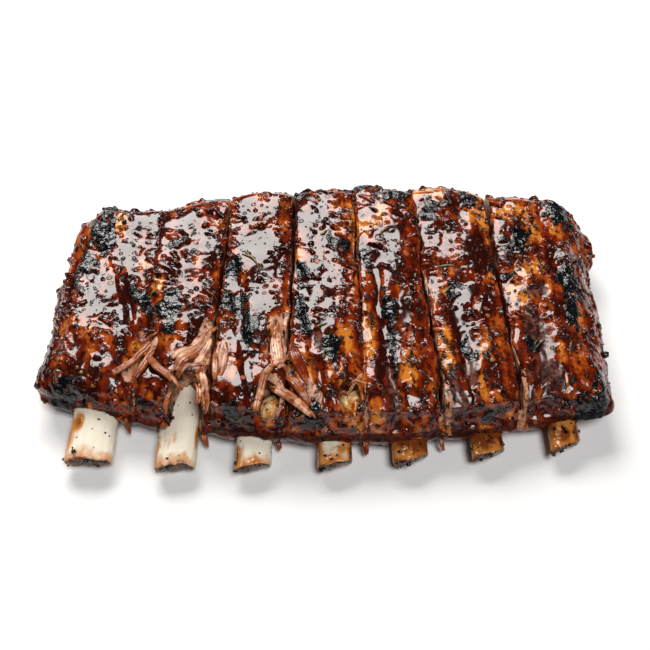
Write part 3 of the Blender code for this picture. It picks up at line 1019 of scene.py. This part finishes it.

# %% [markdown]
# ## Char
#
# Char is sugar and fat burnt to carbon. It is black and cracked like coal, with a blue-grey gleam. Its colour
# is tinted slightly blue, which is a painted blue-grey sheen; its sparks come from its gloss and bump. A halo
# of burnt-brown glaze surrounds it, which is the same mask with a lower threshold.

# %% Char
# Painted sheen: the char's own black, tinted blue to stand for a blue-grey reflection on it.
CHAR_BLACK_WITH_BLUE_SHEEN = (0.0032, 0.0038, 0.0050)
speck = g.centred(uneven(g, 1700, 1), 0.6)
burnt = g.add(g.attribute("char"), g.times(fine, 1.6), g.centred(blotch, 1.2), g.centred(marble, 2.2), speck)
halo = g.mix(g.steps(marble, 0.42, 0.58), BLACK, DEEP)
colour = g.mix(g.steps(burnt, -0.2, 0.45), colour, halo)
is_char = g.steps(burnt, 0.50, 0.70)
colour = g.mix(is_char, colour, CHAR_BLACK_WITH_BLUE_SHEEN)
g.feed(shader["Base Color"], colour)
print("with char:", len(g.tree.nodes), "nodes")

# %% [markdown]
# ## Wet and matt
#
# Glaze is nearly a mirror, so its roughness is low. Torn and dry meat are matt. Char is glossy too, and its
# deep bump breaks the reflection into small sparks. Bump is for what is finer than the mesh only: the lumps
# and the level are real shapes already. A second glossy coat isn't needed, because the glaze itself is the
# surface.

# %% Wet and matt
matt = g.math("MAXIMUM", is_torn, g.math("MAXIMUM", is_pale, in_cut))
rough = g.mix(stands_out, 0.08, 0.12, "FLOAT")
burnt_rough = g.mix(side, 0.12, 0.26, "FLOAT")
for zone, value in ((side, 0.22), (is_dry, 0.24), (matt, 0.33), (spice, 0.35), (is_char, burnt_rough)):
    rough = g.mix(zone, rough, value, "FLOAT")
g.feed(shader["Roughness"], rough)

wet = g.math("SUBTRACT", 1.0, g.math("MAXIMUM", matt, is_char))
height = g.add(g.times(g.math("MAXIMUM", relief, 0.0), 0.55), g.times(spice, 0.34), g.times(bubble, 0.14))
cracks = g.times(uneven(g, 1500, 1), g.steps(streak, 0.42, 0.58, 0.02, 0.18))
coal = g.add(g.times(uneven(g, 520), 0.62), cracks)
height = g.add(g.times(height, wet), g.times(is_char, coal), g.times(matt, strand, 0.25))
g.feed(shader["Normal"], g.bump(height))
g.feed(shader["IOR"], 1.5)
print("the meat's material:", len(g.tree.nodes), "nodes")

# %% [markdown]
# ## Unglazed sides
#
# The brush went over the top only. The sides are dry, dark meat, and they mirror much less of the bright
# floor around them. How strongly a surface mirrors is one number for a whole material, because an export
# can't carry a painted one. So the sides get a copy of the material with a lower number.

# %% Unglazed sides
SIDE_SHINE = 0.10
unglazed = material.copy()
unglazed.name = "unglazed_meat_fine"
unglazed.node_tree.nodes["Principled BSDF"].inputs["Specular IOR Level"].default_value = SIDE_SHINE
for obj in ribs:
    obj.data.materials.append(material)
    obj.data.materials.append(unglazed)
print("slots on each rib:", [slot.name for slot in ribs[0].material_slots])

# %% [markdown]
# ## Rib bones
#
# The bone ends were scraped bare before roasting. The ones on the left stayed ivory, and the ones on the
# right browned like toast. Glaze ran down the sides of some. Where they were sawn off they are porous, with a
# browned, chipped rim. As with the meat, a fine copy of each node is moved along its normals, and what the
# material needs is stored on it. A stain is a bone, how far across it lies (-1 left, 1 right), its distance
# from the sawn end, and its half width and half length in mm.

# %% Rib bones
COOKED = (0.06, 0.0, 0.06, 0.34, 1.05, 0.86, 0.72)
STAINS = (
    (1, -0.55, 15, 2.2, 3.5), (1, -0.95, 8, 1.5, 7), (2, -0.95, 4, 1.4, 6), (2, 0.95, 12, 0.8, 6),
    (3, -0.9, 4, 1.4, 4), (3, 0.2, 1.5, 4, 2), (4, -0.9, 6, 1.8, 8), (4, 0.95, 5, 1.2, 7),
    (4, -0.3, 1, 4, 2.5), (5, -0.2, 12, 6, 2.5), (5, 0.7, 6, 1.6, 4), (6, 0.8, 8, 2, 5),
    (6, -0.6, 4, 2, 4), (7, -0.3, 3, 3, 2.5), (7, 0.9, 7, 1.5, 5),
)


BONE_SQUARE, BONE_PASSES = 0.55, 4


def end_planes(p, n, start, stop, half_width):
    """Distances from the near and the far end in mm, the place across the bone, and the two sawn faces."""
    near_end, far_end = p[:, 1] - p[:, 1].min(), p[:, 1].max() - p[:, 1]
    middle = lerp(start[0], stop[0], (p[:, 1] - start[1]) / (stop[1] - start[1]))
    sawn = smooth(0.4, 0.75, -n[:, 1]) * (near_end < 4) + smooth(0.4, 0.75, n[:, 1]) * (far_end < 4)
    return near_end, far_end, (p[:, 0] - middle) / half_width, sawn


def bone_piece(i, material):
    """The fine piece for a bone. Gives its points, their normals and their distances from the near end."""
    mesh = fine_copy(f"rib_bone_{i}", BONE_SQUARE, BONE_PASSES)
    p, n = points_mm(mesh), normals_of(mesh)
    start, stop, half_width, _ = BONES[i - 1]
    near_end, far_end, across, sawn = end_planes(p, n, start, stop, half_width)
    bare = 1 - smooth(-2, 2, p[:, 1] - near_edge(p[:, 0]))
    stain = np.zeros(len(p))
    for bone, share, from_end, wide, long in STAINS:
        if bone == i:
            away = np.hypot((across - share) * half_width / wide, (near_end - from_end) / long)
            stain = np.maximum(stain, np.exp(-(away**2)))
    grain = 0.10 * lumps(p, (1.2, 14.0, 1.2), 71 + i) + 0.25 * lumps(p, (5.0, 16.0, 5.0), 81 + i)
    chips = 0.6 * lumps(p, 2.2, 91 + i) + 0.35 * lumps(p, 1.1, 92 + i)
    chipped = 0.8 * (1 - smooth(0.3, 2.5, np.minimum(near_end, far_end)))
    p = p + n * (grain * lerp(0.3, 1.0, bare) + chips * chipped - 0.5 * sawn)[:, None]
    p[:, 1] -= 2.0 * smooth(9, 0, near_end) * (1 + 0.5 * lumps(p * (1, 0, 0.3), 4.0, 95 + i))
    move(mesh, p)
    loin_face = sawn * (far_end < 6)
    cooked = np.full(len(p), COOKED[i - 1])
    finishes = {"end": near_end, "sawn": sawn, "loin": loin_face, "stain": stain, "cooked": cooked}
    for name, values in finishes.items():
        store(mesh, name, values)
    mesh.shade_smooth()
    mesh.materials.clear()
    mesh.materials.append(material)
    belongs(as_object(f"bone_{i}", mesh), "rib_bone", f"rib_bone_{i}")
    print(f"bone_{i}: {len(mesh.polygons)} faces")
    return p, normals_of(mesh), near_end


bone_material, g, shader = new_material("rib_bone_fine")
bone_surfaces = [bone_piece(i, bone_material) for i in range(1, 8)]

# %% [markdown]
# ## Browned bone
#
# Bone browns as meat does. One number, how cooked it is, runs through ivory, honey and toast, and the stains,
# a cloudy noise and the long grain all add to it. The last millimetres at the sawn end are the darkest, as a
# thin edge cooks fastest. Browned bone is glossier, because it is coated with fat and glaze.

# %% Browned bone
IVORY = (0.79, 0.715, 0.575)
HONEY = (0.52, 0.190, 0.033)
TOAST = (0.17, 0.036, 0.006)
MARROW_DARK, MARROW_LIGHT = (0.012, 0.0050, 0.003), (0.11, 0.045, 0.018)
LOIN_DARK, LOIN_LIGHT = (0.20, 0.075, 0.028), (0.42, 0.20, 0.085)

grain = uneven(g, 420, 3, (1, 0.12, 1))
cloud = uneven(g, 150, 3, (1, 0.6, 1))
mottle = uneven(g, 420)
pores = uneven(g, 700)
cooked = g.attribute("cooked")
tint = g.add(cooked, g.times(g.attribute("stain"), 0.75), g.centred(grain, 0.5))
tint = g.add(tint, g.times(g.centred(cloud, 1.7), g.add(1.0, g.times(cooked, 0.5))))
tint = g.add(tint, g.times(g.centred(mottle, 1.2), g.add(cooked, 0.2)))
colour = g.ramp(tint, IVORY, (0.12, 0.62, HONEY), (0.62, 1.15, TOAST))
band = g.add(g.attribute("end"), g.centred(cloud, 10.0), g.centred(grain, 3.0), g.centred(mottle, 3.0))
colour = g.mix(g.times(g.steps(band, 5.0, 1.5), 0.75), colour, HONEY)
colour = g.mix(g.steps(band, 1.4, -0.8), colour, TOAST)
burnt_spots = g.steps(g.add(uneven(g, 420, 1), g.times(cooked, 0.06)), 0.725, 0.76)
colour = g.mix(burnt_spots, colour, BLACK)
sawn_face = g.mix(g.steps(pores, 0.40, 0.60), MARROW_DARK, MARROW_LIGHT)
loin_face = g.mix(patches(g, 260, 0.42, 0.60), LOIN_DARK, LOIN_LIGHT)
sawn_face = g.mix(g.attribute("loin"), sawn_face, loin_face)
colour = g.mix(g.steps(g.attribute("sawn"), 0.3, 0.6), colour, sawn_face)
g.feed(shader["Base Color"], colour)
g.feed(shader["Roughness"], g.mix(g.steps(tint, 0.2, 0.8), 0.30, 0.13, "FLOAT"))
height = g.add(g.times(grain, 0.14), g.times(g.attribute("sawn"), pores, 0.5), g.times(burnt_spots, 0.3))
height = g.add(height, g.times(g.steps(tint, 0.5, 1.0), mottle, 0.35))
g.feed(shader["Normal"], g.bump(height))
print("bone:", len(g.tree.nodes), "nodes")

# %% [markdown]
# ## Pulled meat
#
# Where a strip was pulled off, its threads lie over the glaze in bent, flat ribbons. A ribbon is not one band
# but several muscle fibres side by side, each as long as it happened to tear. A fibre is a tube, so it is
# made as a tube: a small round face is extruded along a curve, and turned and scaled at each step. First come
# the curve, the tube, and a way to ask how high the rack's surface is at a place.


# %% Curves and tubes on the surface
def surface(x, y, low=0.0):
    """The height in mm of the rack's top at a place, or low where it is deeper than that."""
    hit = surface_tree.ray_cast(Vector((x, y, 80)) * MM, Vector((0, 0, -1)))[0]
    return max(hit.z / MM if hit else 0.0, low)


def curve(points, count):
    """A smooth line of that many places through a few points (a Catmull-Rom spline)."""
    q = np.array(points, float)
    q = np.vstack([2 * q[0] - q[1], q, 2 * q[-1] - q[-2]])
    line = []
    for t in np.linspace(0, len(q) - 3 - 1e-6, count):
        k = int(t)
        u = t - k
        a, b, c, d = q[k : k + 4]
        bend = (2 * a - 5 * b + 4 * c - d) * u**2 + (3 * b - a - 3 * c + d) * u**3
        line.append(Vector(0.5 * (2 * b + (c - a) * u + bend)))
    return line


def new_bits():
    """An empty bmesh whose points can carry a tint and their place along a tube."""
    bm = bmesh.new()
    return bm, bm.verts.layers.float.new("tint"), bm.verts.layers.float.new("along")


def tube(bits, line, radii, flat, tint, sides=8):
    """Extrudes a round face along a line, turning and scaling it at each step."""
    bm, tint_layer, along_layer = bits
    ring = bmesh.ops.create_circle(bm, cap_ends=True, segments=sides, radius=1.0)["verts"]
    cap = ring[0].link_faces[0]
    last = Matrix.Identity(4)
    for k, (at, radius) in enumerate(zip(line, radii)):
        way = line[min(k + 1, len(line) - 1)] - line[max(k - 1, 0)]
        turn = way.to_track_quat("Z", "Y").to_matrix().to_4x4()
        size = Matrix.Diagonal((radius * MM, radius * flat * MM, radius * MM, 1))
        here = Matrix.Translation(at * MM) @ turn @ size
        if k:
            cap = bmesh.ops.extrude_discrete_faces(bm, faces=[cap])["faces"][0]
            ring = cap.verts
        bmesh.ops.transform(bm, matrix=here @ last.inverted(), verts=list(ring))
        for vert in ring:
            vert[along_layer] = k / (len(line) - 1)
            vert[tint_layer] = tint
        last = here


def finish_piece(name, bm, material, slot_name, node="rib_meat"):
    """Closes a bmesh, turns its faces outwards and makes it a piece."""
    bmesh.ops.holes_fill(bm, edges=[edge for edge in bm.edges if edge.is_boundary])
    bmesh.ops.recalc_face_normals(bm, faces=bm.faces)
    mesh = as_mesh(name, bm)
    mesh.shade_smooth()
    mesh.materials.append(material)
    belongs(as_object(name, mesh), slot_name, node)
    print(name, len(mesh.polygons), "faces")


print("surface at the middle:", round(surface(0, 0), 1), "mm")

# %% [markdown]
# ## Ribbons and hanging shreds
#
# Each ribbon is listed, as a cook would see it: its width, how stained it is (0 pale, 1 glazed), and a
# few points that give x, y and the height over the surface. A shred hangs free from the near edge, so its
# points are x, y and z. The tint differs from fibre to fibre, which is what makes a ribbon read as threads.

# %% Ribbons and hanging shreds
RIBBONS = (
    (3, 0.35, ((-68.5, -25, -0.5), (-66.5, -30, 1), (-62, -36.5, 1.8), (-57.5, -40.3, 1.8),
        (-53.3, -44.5, 0.3))),
    (1.6, 0.3, ((-55.5, -41, -0.5), (-54.5, -38, 1), (-52.5, -35.5, 1.6), (-49, -34.6, 1.5),
        (-46, -34.3, 1), (-45.3, -36, 0.8), (-48, -38, 0.6))),
    (5.4, 0.05, ((-57.5, -33, 0.3), (-55, -29.5, 0.8), (-50, -24, 0.6), (-45.5, -18, 0.2),
        (-43.3, -12.5, -0.6))),
    (4, 0.4, ((-56.5, -38, 0.3), (-53.5, -32.5, 0.9), (-48.5, -26, 0.7), (-44.8, -20, 0))),
    (3.4, 0.05, ((-50, -37, -1), (-48, -31, 0.4), (-45.5, -25, 0.2), (-44.2, -19, -0.4))),
    (2.2, 0.2, ((-47, -41, -1.5), (-45.8, -37, 0.2), (-44.6, -32, 0.2), (-44.2, -27, -0.4))),
    (2.6, 0.15, ((-19.5, -33, -0.3), (-20.5, -36, 1), (-22.5, -40, 1.3), (-24.2, -46, 0.9),
        (-25.3, -52, 0.5), (-25.9, -55, 0))),
    (4.2, 0.02, ((-21, -42, -1), (-18.5, -44.5, 1), (-15, -46.8, 1.4), (-10.6, -50, 1), (-7.5, -53, 0.5),
        (-4, -56, -0.5))),
    (3.6, 0.35, ((-15, -37, -0.8), (-12.5, -41, 0.6), (-9, -46, 0.4), (-5.5, -51.5, -0.5))),
    (4.4, 0.75, ((-13, -25, -0.8), (-11.5, -31, 0.4), (-9, -37, 0.3), (-6.5, -43, -0.6))),
    (6, 0, ((-17.6, -36, 0.5), (-18.4, -29, 0.5), (-19.6, -21, 0.3), (-20.2, -12.5, -0.7))),
    (1.5, 0.25, ((-17.8, -36, 0.3), (-15.8, -32.5, 1), (-14.2, -29, 0.8), (-13.2, -25.5, -0.3))),
    (1.5, 0.3, ((-18.3, -36, 0.3), (-16, -35.3, 1.2), (-14.3, -36.5, 1.2), (-14.4, -39, 0.4))),
    (1.3, 0.3, ((-70.5, -21, -0.4), (-68, -19.6, 0.9), (-66, -19.4, 0.9), (-64.6, -18.2, 0))),
    (2.8, 0.6, ((-74, -33, -0.6), (-71, -28, 0.5), (-68.5, -24.5, 0.3), (-66.5, -20.5, -0.6))),
    (2.6, 0.4, ((-81, -37, -0.6), (-77, -35, 0.5), (-73, -31.5, 0.8), (-70, -27, -0.3))),
    (2.6, 0.6, ((-72.5, -40, -0.6), (-69.6, -35.7, 0.6), (-67.3, -30, 0.6), (-65, -25, -0.3))),
    (2.2, 0.3, ((-42.3, -26, -0.6), (-41.6, -31, 0.2), (-41.2, -37, 0.2), (-41, -43, -0.6))),
    (1, 0.15, ((7.8, -47, -0.5), (9.5, -43.5, 0.8), (12, -40.5, 0.6), (13.8, -37.5, -0.3))),
    (0.9, 0.1, ((8, -42, -0.3), (11, -41.6, 0.9), (15.5, -42.3, -0.2))),
    (0.9, 0, ((40.8, 9, -0.3), (41.3, 5, 0.3), (42.1, 0, 0.3), (43, -5, -0.3))),
    (0.8, 0, ((89.6, -35, -0.3), (89.5, -40, 0.4), (89.3, -46, -0.3))),
    (2.6, 0.25, ((-46.6, -36, -0.4), (-45.4, -40, 0.5), (-44.6, -44.5, 0.6), (-44.2, -49, 0.2),
        (-44.3, -52.5, -1))),
    (1.8, 0.1, ((-47.6, -41, -0.4), (-46.8, -44.5, 0.7), (-46.6, -48, 0.5), (-47, -51.5, -0.6))),
    (1.6, 0.55, ((-45.2, -43, 0.4), (-43.6, -46.5, 0.9), (-43.2, -50.5, 0.5), (-43.8, -54, -0.8))),
    (1.8, 0.45, ((-56.5, -43, -0.3), (-57.6, -47, 0.6), (-58.4, -51, 0.3), (-58.2, -54.5, -0.8))),
)
SHREDS = (
    (1.9, 0.55, ((-75.6, -43.5, 8), (-75.3, -47.5, 7), (-75, -50.5, 4))),
    (2.2, 0.6, ((-46.5, -49.5, 8), (-46, -53, 6.5), (-44.5, -56.5, 3.5))),
    (1.6, 0.65, ((-18.6, -53, 6), (-17.6, -56, 4.5), (-16.8, -58.4, 2.5))),
    (2, 0.75, ((14, -53.5, 8), (14.8, -57, 6), (15.4, -60, 3))),
    (1.5, 0.7, ((43, -53, 7), (43.5, -56, 5), (44.4, -57.8, 3))),
)


FIBRE_WIDTH, SHRUNK = 0.9, 0.8
RIBBON_STEPS, SHRED_STEPS = 20, 12
DEEPEST = 23.0  # a ribbon lies no lower than this, so it spans the cuts


def ribbon(bits, width, stain, path, random):
    """A strip of pulled meat: flat fibres side by side, each as long as it happened to tear."""
    width *= SHRUNK
    count = max(2, round(width / FIBRE_WIDTH))
    drift = random.normal(size=count) * 0.12
    for fibre in range(count):
        share = (fibre + 0.5) / count - 0.5
        start, stop = random.integers(0, 3), len(path) - random.integers(0, 4)
        lean = random.normal(size=2) * 0.35
        tint = np.clip(stain + 0.30 * (2 * share) ** 2 + random.normal() * 0.14, 0, 1)
        line, radii = [], []
        for k in range(start, stop):
            t = k / (len(path) - 1)
            way = path[min(k + 1, len(path) - 1)] - path[max(k - 1, 0)]
            across = way.cross(Vector((0, 0, 1))).normalized()
            spread = abs(2 * t - 1) ** 3
            sideways = share * width * (0.55 + 0.45 * math.sin(math.pi * t)) + lean[0] * spread
            rise = 0.5 * (0.25 - share**2) * min(width, 3.0) + drift[fibre] + lean[1] * spread
            line.append(path[k] + across * sideways + Vector((0, 0, rise)))
            swell = math.sin(math.pi * (k - start + 0.5) / (stop - start)) ** 0.35
            radii.append(width / count * (0.15 + 0.85 * swell) * random.uniform(0.93, 1.07))
        tube(bits, line, radii, random.uniform(0.6, 0.8), tint)


random = np.random.default_rng(11)
pulled = new_bits()
for width, stain, points in RIBBONS:
    lifted = [(x, y, surface(x, y, DEEPEST) + lift) for x, y, lift in points]
    ribbon(pulled, width, stain, curve(lifted, RIBBON_STEPS), random)
for width, stain, points in SHREDS:
    ribbon(pulled, width, stain, curve(points, SHRED_STEPS), random)
print("ribbons and shreds:", len(RIBBONS) + len(SHREDS))

# %% [markdown]
# ## The colour of pulled meat
#
# Roast pork is pink-beige inside, tan where it dried, and it soaks up the glaze at its torn ends. The tint
# that each fibre carries picks the colour, and the place along it darkens the ends.

# %% The colour of pulled meat
PALE_PORK, TAN_PORK = (0.74, 0.43, 0.28), (0.34, 0.115, 0.040)
BROWN_PORK, GLAZED_PORK = (0.17, 0.036, 0.008), (0.26, 0.058, 0.010)

material, g, shader = new_material("pulled_meat")
threads = uneven(g, 1300)
lot = uneven(g, 240)
tint = g.add(g.attribute("tint"), g.centred(lot, 1.8), g.centred(threads, 0.4))
colour = g.mix(g.steps(tint, -0.15, 0.34), PALE_PORK, TAN_PORK)
colour = g.mix(patches(g, 330, 0.54, 0.66), colour, BROWN_PORK)
colour = g.ramp(tint, colour, (0.35, 0.65, GLAZED_PORK), (0.70, 0.95, MAHOGANY))
ends = g.math("ABSOLUTE", g.math("SUBTRACT", g.attribute("along"), 0.5))
ends = g.steps(g.add(ends, g.times(lot, 0.25)), 0.52, 0.64)
colour = g.mix(g.times(ends, 0.7), colour, RUST)
g.feed(shader["Base Color"], colour)
g.feed(shader["Roughness"], 0.22)
g.feed(shader["Normal"], g.bump(g.add(g.times(threads, 0.12), g.times(lot, 0.3))))
finish_piece("pulled_meat", pulled[0], material, "glazed_meat")

# %% [markdown]
# ## Gristle
#
# Between the muscles, near the bone ends, a knob of yellow-white gristle shows in two places. It is rounded
# and slippery, half buried in meat. A ball stretched to its size and dented a little is all it takes.

# %% Gristle
GRISTLE = (((-20.4, -47.4, 14.6), (4.6, 6.6, 4.2)), ((9.4, -46.4, 15.8), (5.8, 6.8, 5.2)))
bm = bmesh.new()
for centre, radii in GRISTLE:
    ball = Matrix.Translation(Vector(centre) * MM) @ Matrix.Diagonal((*(Vector(radii) * MM), 1))
    verts = bmesh.ops.create_icosphere(bm, subdivisions=5, radius=1.0, matrix=ball)["verts"]
    on_ball = np.array([vert.co[:] for vert in verts]) / MM
    dents = 1.3 * lumps(on_ball, 4.0, 97) + 0.5 * lumps(on_ball, 1.7, 98)
    for vert, dent in zip(verts, dents):
        vert.co += (vert.co - Vector(centre) * MM).normalized() * dent * MM

CREAM, GOLD = (0.90, 0.62, 0.30), (0.66, 0.26, 0.050)
material, g, shader = new_material("gristle")
cloud = uneven(g, 210, 2, (1, 0.6, 1))
colour = g.ramp(cloud, CREAM, (0.30, 0.58, GOLD))
colour = g.mix(patches(g, 330, 0.53, 0.62), colour, RUST)
g.feed(shader["Base Color"], colour)
g.feed(shader["Roughness"], 0.16)
g.feed(shader["Normal"], g.bump(uneven(g, 500), 0.0005))
finish_piece("gristle", bm, material, "rib_bone")

# %% [markdown]
# ## Bits that stick to the glaze
#
# Cracked pepper, sugar crystals, mustard seeds and burnt crumbs lie on the glaze, and at the outline they
# break its smooth edge. Particles would do it on screen, but only real meshes can be exported. So each kind
# is one mesh of many small balls, dented, stretched, turned at random and pressed into the surface. Each has
# few faces, because there are hundreds.


# %% Bits that stick to the glaze
def chosen(points, weight, count, random):
    """Picks points at random, the likelier the larger their weight."""
    weight = np.maximum(weight, 0)
    return random.choice(len(points), size=count, replace=False, p=weight / weight.sum())


def scattered(name, spots, normals, radii, material, slot_name="glazed_meat", node="rib_meat", **shape):
    """One piece of many small bits. The shape says how flat, dented, deep and finely divided they are."""
    random = np.random.default_rng(shape["seed"])
    bits = new_bits()
    bm, tint_layer, _ = bits
    for spot, normal, radius in zip(spots, normals, radii):
        spin = Quaternion((0, 0, 1), random.uniform(0, math.tau))
        turn = (Vector(normal).to_track_quat("Z", "Y") @ spin).to_matrix().to_4x4()
        size = radius * random.uniform((0.8, 0.7, 0.8 * shape["flat"]), (1.4, 1.0, 1.2 * shape["flat"]))
        middle = spot + normal * size[2] * (1 - 2 * shape["sunk"])
        middle[2] = max(middle[2], size[2] + 0.05)
        verts = bmesh.ops.create_icosphere(bm, subdivisions=shape["divided"], radius=1.0)["verts"]
        tint = random.random()
        for vert, dent in zip(verts, 1 + shape["dented"] * random.normal(size=len(verts))):
            vert.co *= dent
            vert[tint_layer] = tint
        placing = Matrix.Translation(Vector(middle) * MM) @ turn @ Matrix.Diagonal((*(size * MM), 1))
        bmesh.ops.transform(bm, matrix=placing, verts=verts)
    finish_piece(name, bm, material, slot_name, node)


def bit_material(name, shades, roughness):
    """A finish that gives each bit one of three colours."""
    material, g, shader = new_material(name)
    sockets = {"Tint": g.attribute("tint"), **dict(zip(("Low", "Middle", "High"), shades))}
    g.feed(shader["Base Color"], placed(g, THREE_SHADES, sockets))
    g.feed(shader["Roughness"], roughness)
    return material


def radii_of(count, least, spread, power):
    """Random radii in mm, from the least up. A higher power makes more small ones."""
    return least + spread * random.random(count) ** power


def strewn(name, weight, count, sizes, material, **shape):
    """One piece of that many bits on the meat, the likelier at a point the larger its weight."""
    pick = chosen(meat_points, weight, count, random)
    radii = radii_of(count, *sizes)
    scattered(name, meat_points[pick], meat_normals[pick], radii, material, **shape)


random = np.random.default_rng(21)
up, outer, char = facts["up"], facts["outer"], facts["char"]
clusters = smooth(-0.3, 0.5, lumps(meat_points, 9.0, 101))
on_top = up * (1 - facts["torn"]) * (outer > 1)
print(f"places for bits: {(on_top > 0.5).sum()}")

# %% [markdown]
# ## Pepper, rub and seeds
#
# These were strewn on top, so they lie on the top only, in loose clusters, and few on the char.

# %% Pepper, rub and seeds
PEPPER_SHADES = (0.006, 0.004, 0.003), (0.010, 0.005, 0.003), (0.05, 0.02, 0.01)
RUB_SHADES = (0.09, 0.010, 0.003), (0.22, 0.035, 0.006), (0.45, 0.15, 0.03)
SEED_SHADES = (0.30, 0.17, 0.03), (0.20, 0.09, 0.02), (0.10, 0.06, 0.015)

strewn("pepper", on_top * (0.15 + clusters) * (1 - 0.7 * char), 380, (0.2, 0.25, 2),
       bit_material("cracked_pepper", PEPPER_SHADES, 0.45),
       flat=0.7, dented=0.16, sunk=0.3, divided=1, seed=31)
off_the_char = on_top * (0.2 + clusters) * (1 - char)
strewn("rub_grains", off_the_char, 260, (0.25, 0.25, 1),
       bit_material("rub_crystals", RUB_SHADES, 0.12),
       flat=0.8, dented=0.10, sunk=0.25, divided=1, seed=32)
strewn("mustard_seeds", off_the_char, 42, (0.55, 0.40, 1),
       bit_material("mustard_seed_coat", SEED_SHADES, 0.2),
       flat=0.7, dented=0.03, sunk=0.3, divided=2, seed=33)

# %% [markdown]
# ## Crumbs
#
# Crumbs of burnt glaze gather along the slab's outer edges and on the char, where the fire was hottest. A few
# dark ones stick to the bone ends too.

# %% Crumbs
edges = (1 - smooth(0, 5, outer)) * smooth(7, 14, meat_points[:, 2]) * (meat_normals[:, 2] > 0.1)
at_edge = edges * (0.1 + clusters) * (1 - facts["torn"])
COAL_SHADES = (0.003, 0.0025, 0.0025), (0.006, 0.003, 0.003), (0.012, 0.004, 0.003)
RED_SHADES = (0.05, 0.005, 0.002), (0.12, 0.014, 0.003), (0.26, 0.05, 0.01)
BONE_CRUMB_SHADES = (0.003, 0.0025, 0.0025), (0.008, 0.004, 0.003), (0.03, 0.010, 0.004)

strewn("dark_crumbs", at_edge + 0.4 * char * (meat_normals[:, 2] > -0.1), 80, (0.3, 1.2, 3),
       bit_material("burnt_crumbs", COAL_SHADES, 0.2),
       flat=0.9, dented=0.16, sunk=0.2, divided=2, seed=34)
strewn("red_crumbs", at_edge, 45, (0.4, 1.1, 2),
       bit_material("glazed_crumbs", RED_SHADES, 0.12),
       flat=0.9, dented=0.14, sunk=0.2, divided=2, seed=35)
on_bone = bit_material("bone_crumbs", BONE_CRUMB_SHADES, 0.25)
for i, (q, m, end) in enumerate(bone_surfaces, 1):
    on_end = chosen(q, (end < 1.5) * (m[:, 2] < 0.6) * 1.0, 9, random)
    on_shaft = chosen(q, (end < 14) * (m[:, 2] > 0.0) * 1.0, 4 if i < 4 else 9, random)
    pick = np.concatenate([on_end, on_shaft])
    radii = radii_of(len(pick), 0.22, 0.75, 3)
    scattered(f"bone_{i}_crumbs", q[pick], m[pick], radii, on_bone, "rib_bone", f"rib_bone_{i}",
              flat=0.8, dented=0.14, sunk=0.25, divided=2, seed=40 + i)

# %% [markdown]
# ## Rosemary
#
# Dried rosemary needles lie on the glaze. A needle is a thin tube with pointed ends and a slight bend, 2 to 9
# mm long. The ones that catch the eye are listed, as the x and y of both ends and the bend in mm, and
# a few more fall at random.

# %% Rosemary
NEEDLES = (
    (-34, 20, -27, 13, 1.2), (-33, 21.5, -28.5, 17.5, -0.6), (45, 14.3, 52, 14.8, 0.3),
    (47, 1, 50, 5, 0.2), (-4, -18, 0, -16.8, 0.3), (80, -25, 84, -21, 0.4),
    (79.5, -23.5, 82.5, -19.5, 0.2), (-60, -44, -57, -46, 0.2), (-60.5, -46.5, -57.5, -47.5, 0.2),
    (22, 30, 27, 34, 0.5), (-55.5, 30, -54.5, 34, 0.2), (-100, 25, -101.5, 29, 0.3),
    (-71, 0.5, -67.5, 2.5, 0.3), (92, -29, 94, -22, 0.3),
)
FEW, NEEDLE_STEPS, NEEDLE_RADIUS = 16, 9, 0.42
needles = list(NEEDLES)
for x, y, _ in meat_points[chosen(meat_points, on_top * (outer > 6) * (1 - char), FEW, random)]:
    angle, long = random.uniform(0, math.pi), random.uniform(2.0, 4.0)
    needles.append((x, y, x + long * math.cos(angle), y + long * math.sin(angle), random.normal() * 0.3))

herbs = new_bits()
for x0, y0, x1, y1, bend in needles:
    across = Vector((y0 - y1, x1 - x0)).normalized() * bend
    line, radii = [], []
    for k in range(NEEDLE_STEPS):
        t = k / (NEEDLE_STEPS - 1)
        arch = math.sin(math.pi * t)
        x, y = lerp(x0, x1, t) + across.x * arch, lerp(y0, y1, t) + across.y * arch
        line.append(Vector((x, y, surface(x, y) + 0.25 + 0.25 * arch)))
        slim = math.sin(math.pi * (k + 0.6) / (NEEDLE_STEPS + 0.2)) ** 0.5
        radii.append(NEEDLE_RADIUS * (0.25 + 0.75 * slim))
    tube(herbs, line, radii, 0.6, random.random())

STRAW, OLIVE, SCORCHED = (0.19, 0.14, 0.042), (0.07, 0.058, 0.016), (0.05, 0.022, 0.006)
material, g, shader = new_material("rosemary")
colour = g.ramp(g.attribute("tint"), STRAW, (0.3, 0.6, OLIVE))
colour = g.mix(patches(g, 600, 0.5, 0.62, 1), colour, SCORCHED)
g.feed(shader["Base Color"], colour)
g.feed(shader["Roughness"], 0.25)
finish_piece("rosemary", herbs[0], material, "glazed_meat")

# %% [markdown] ## Finish
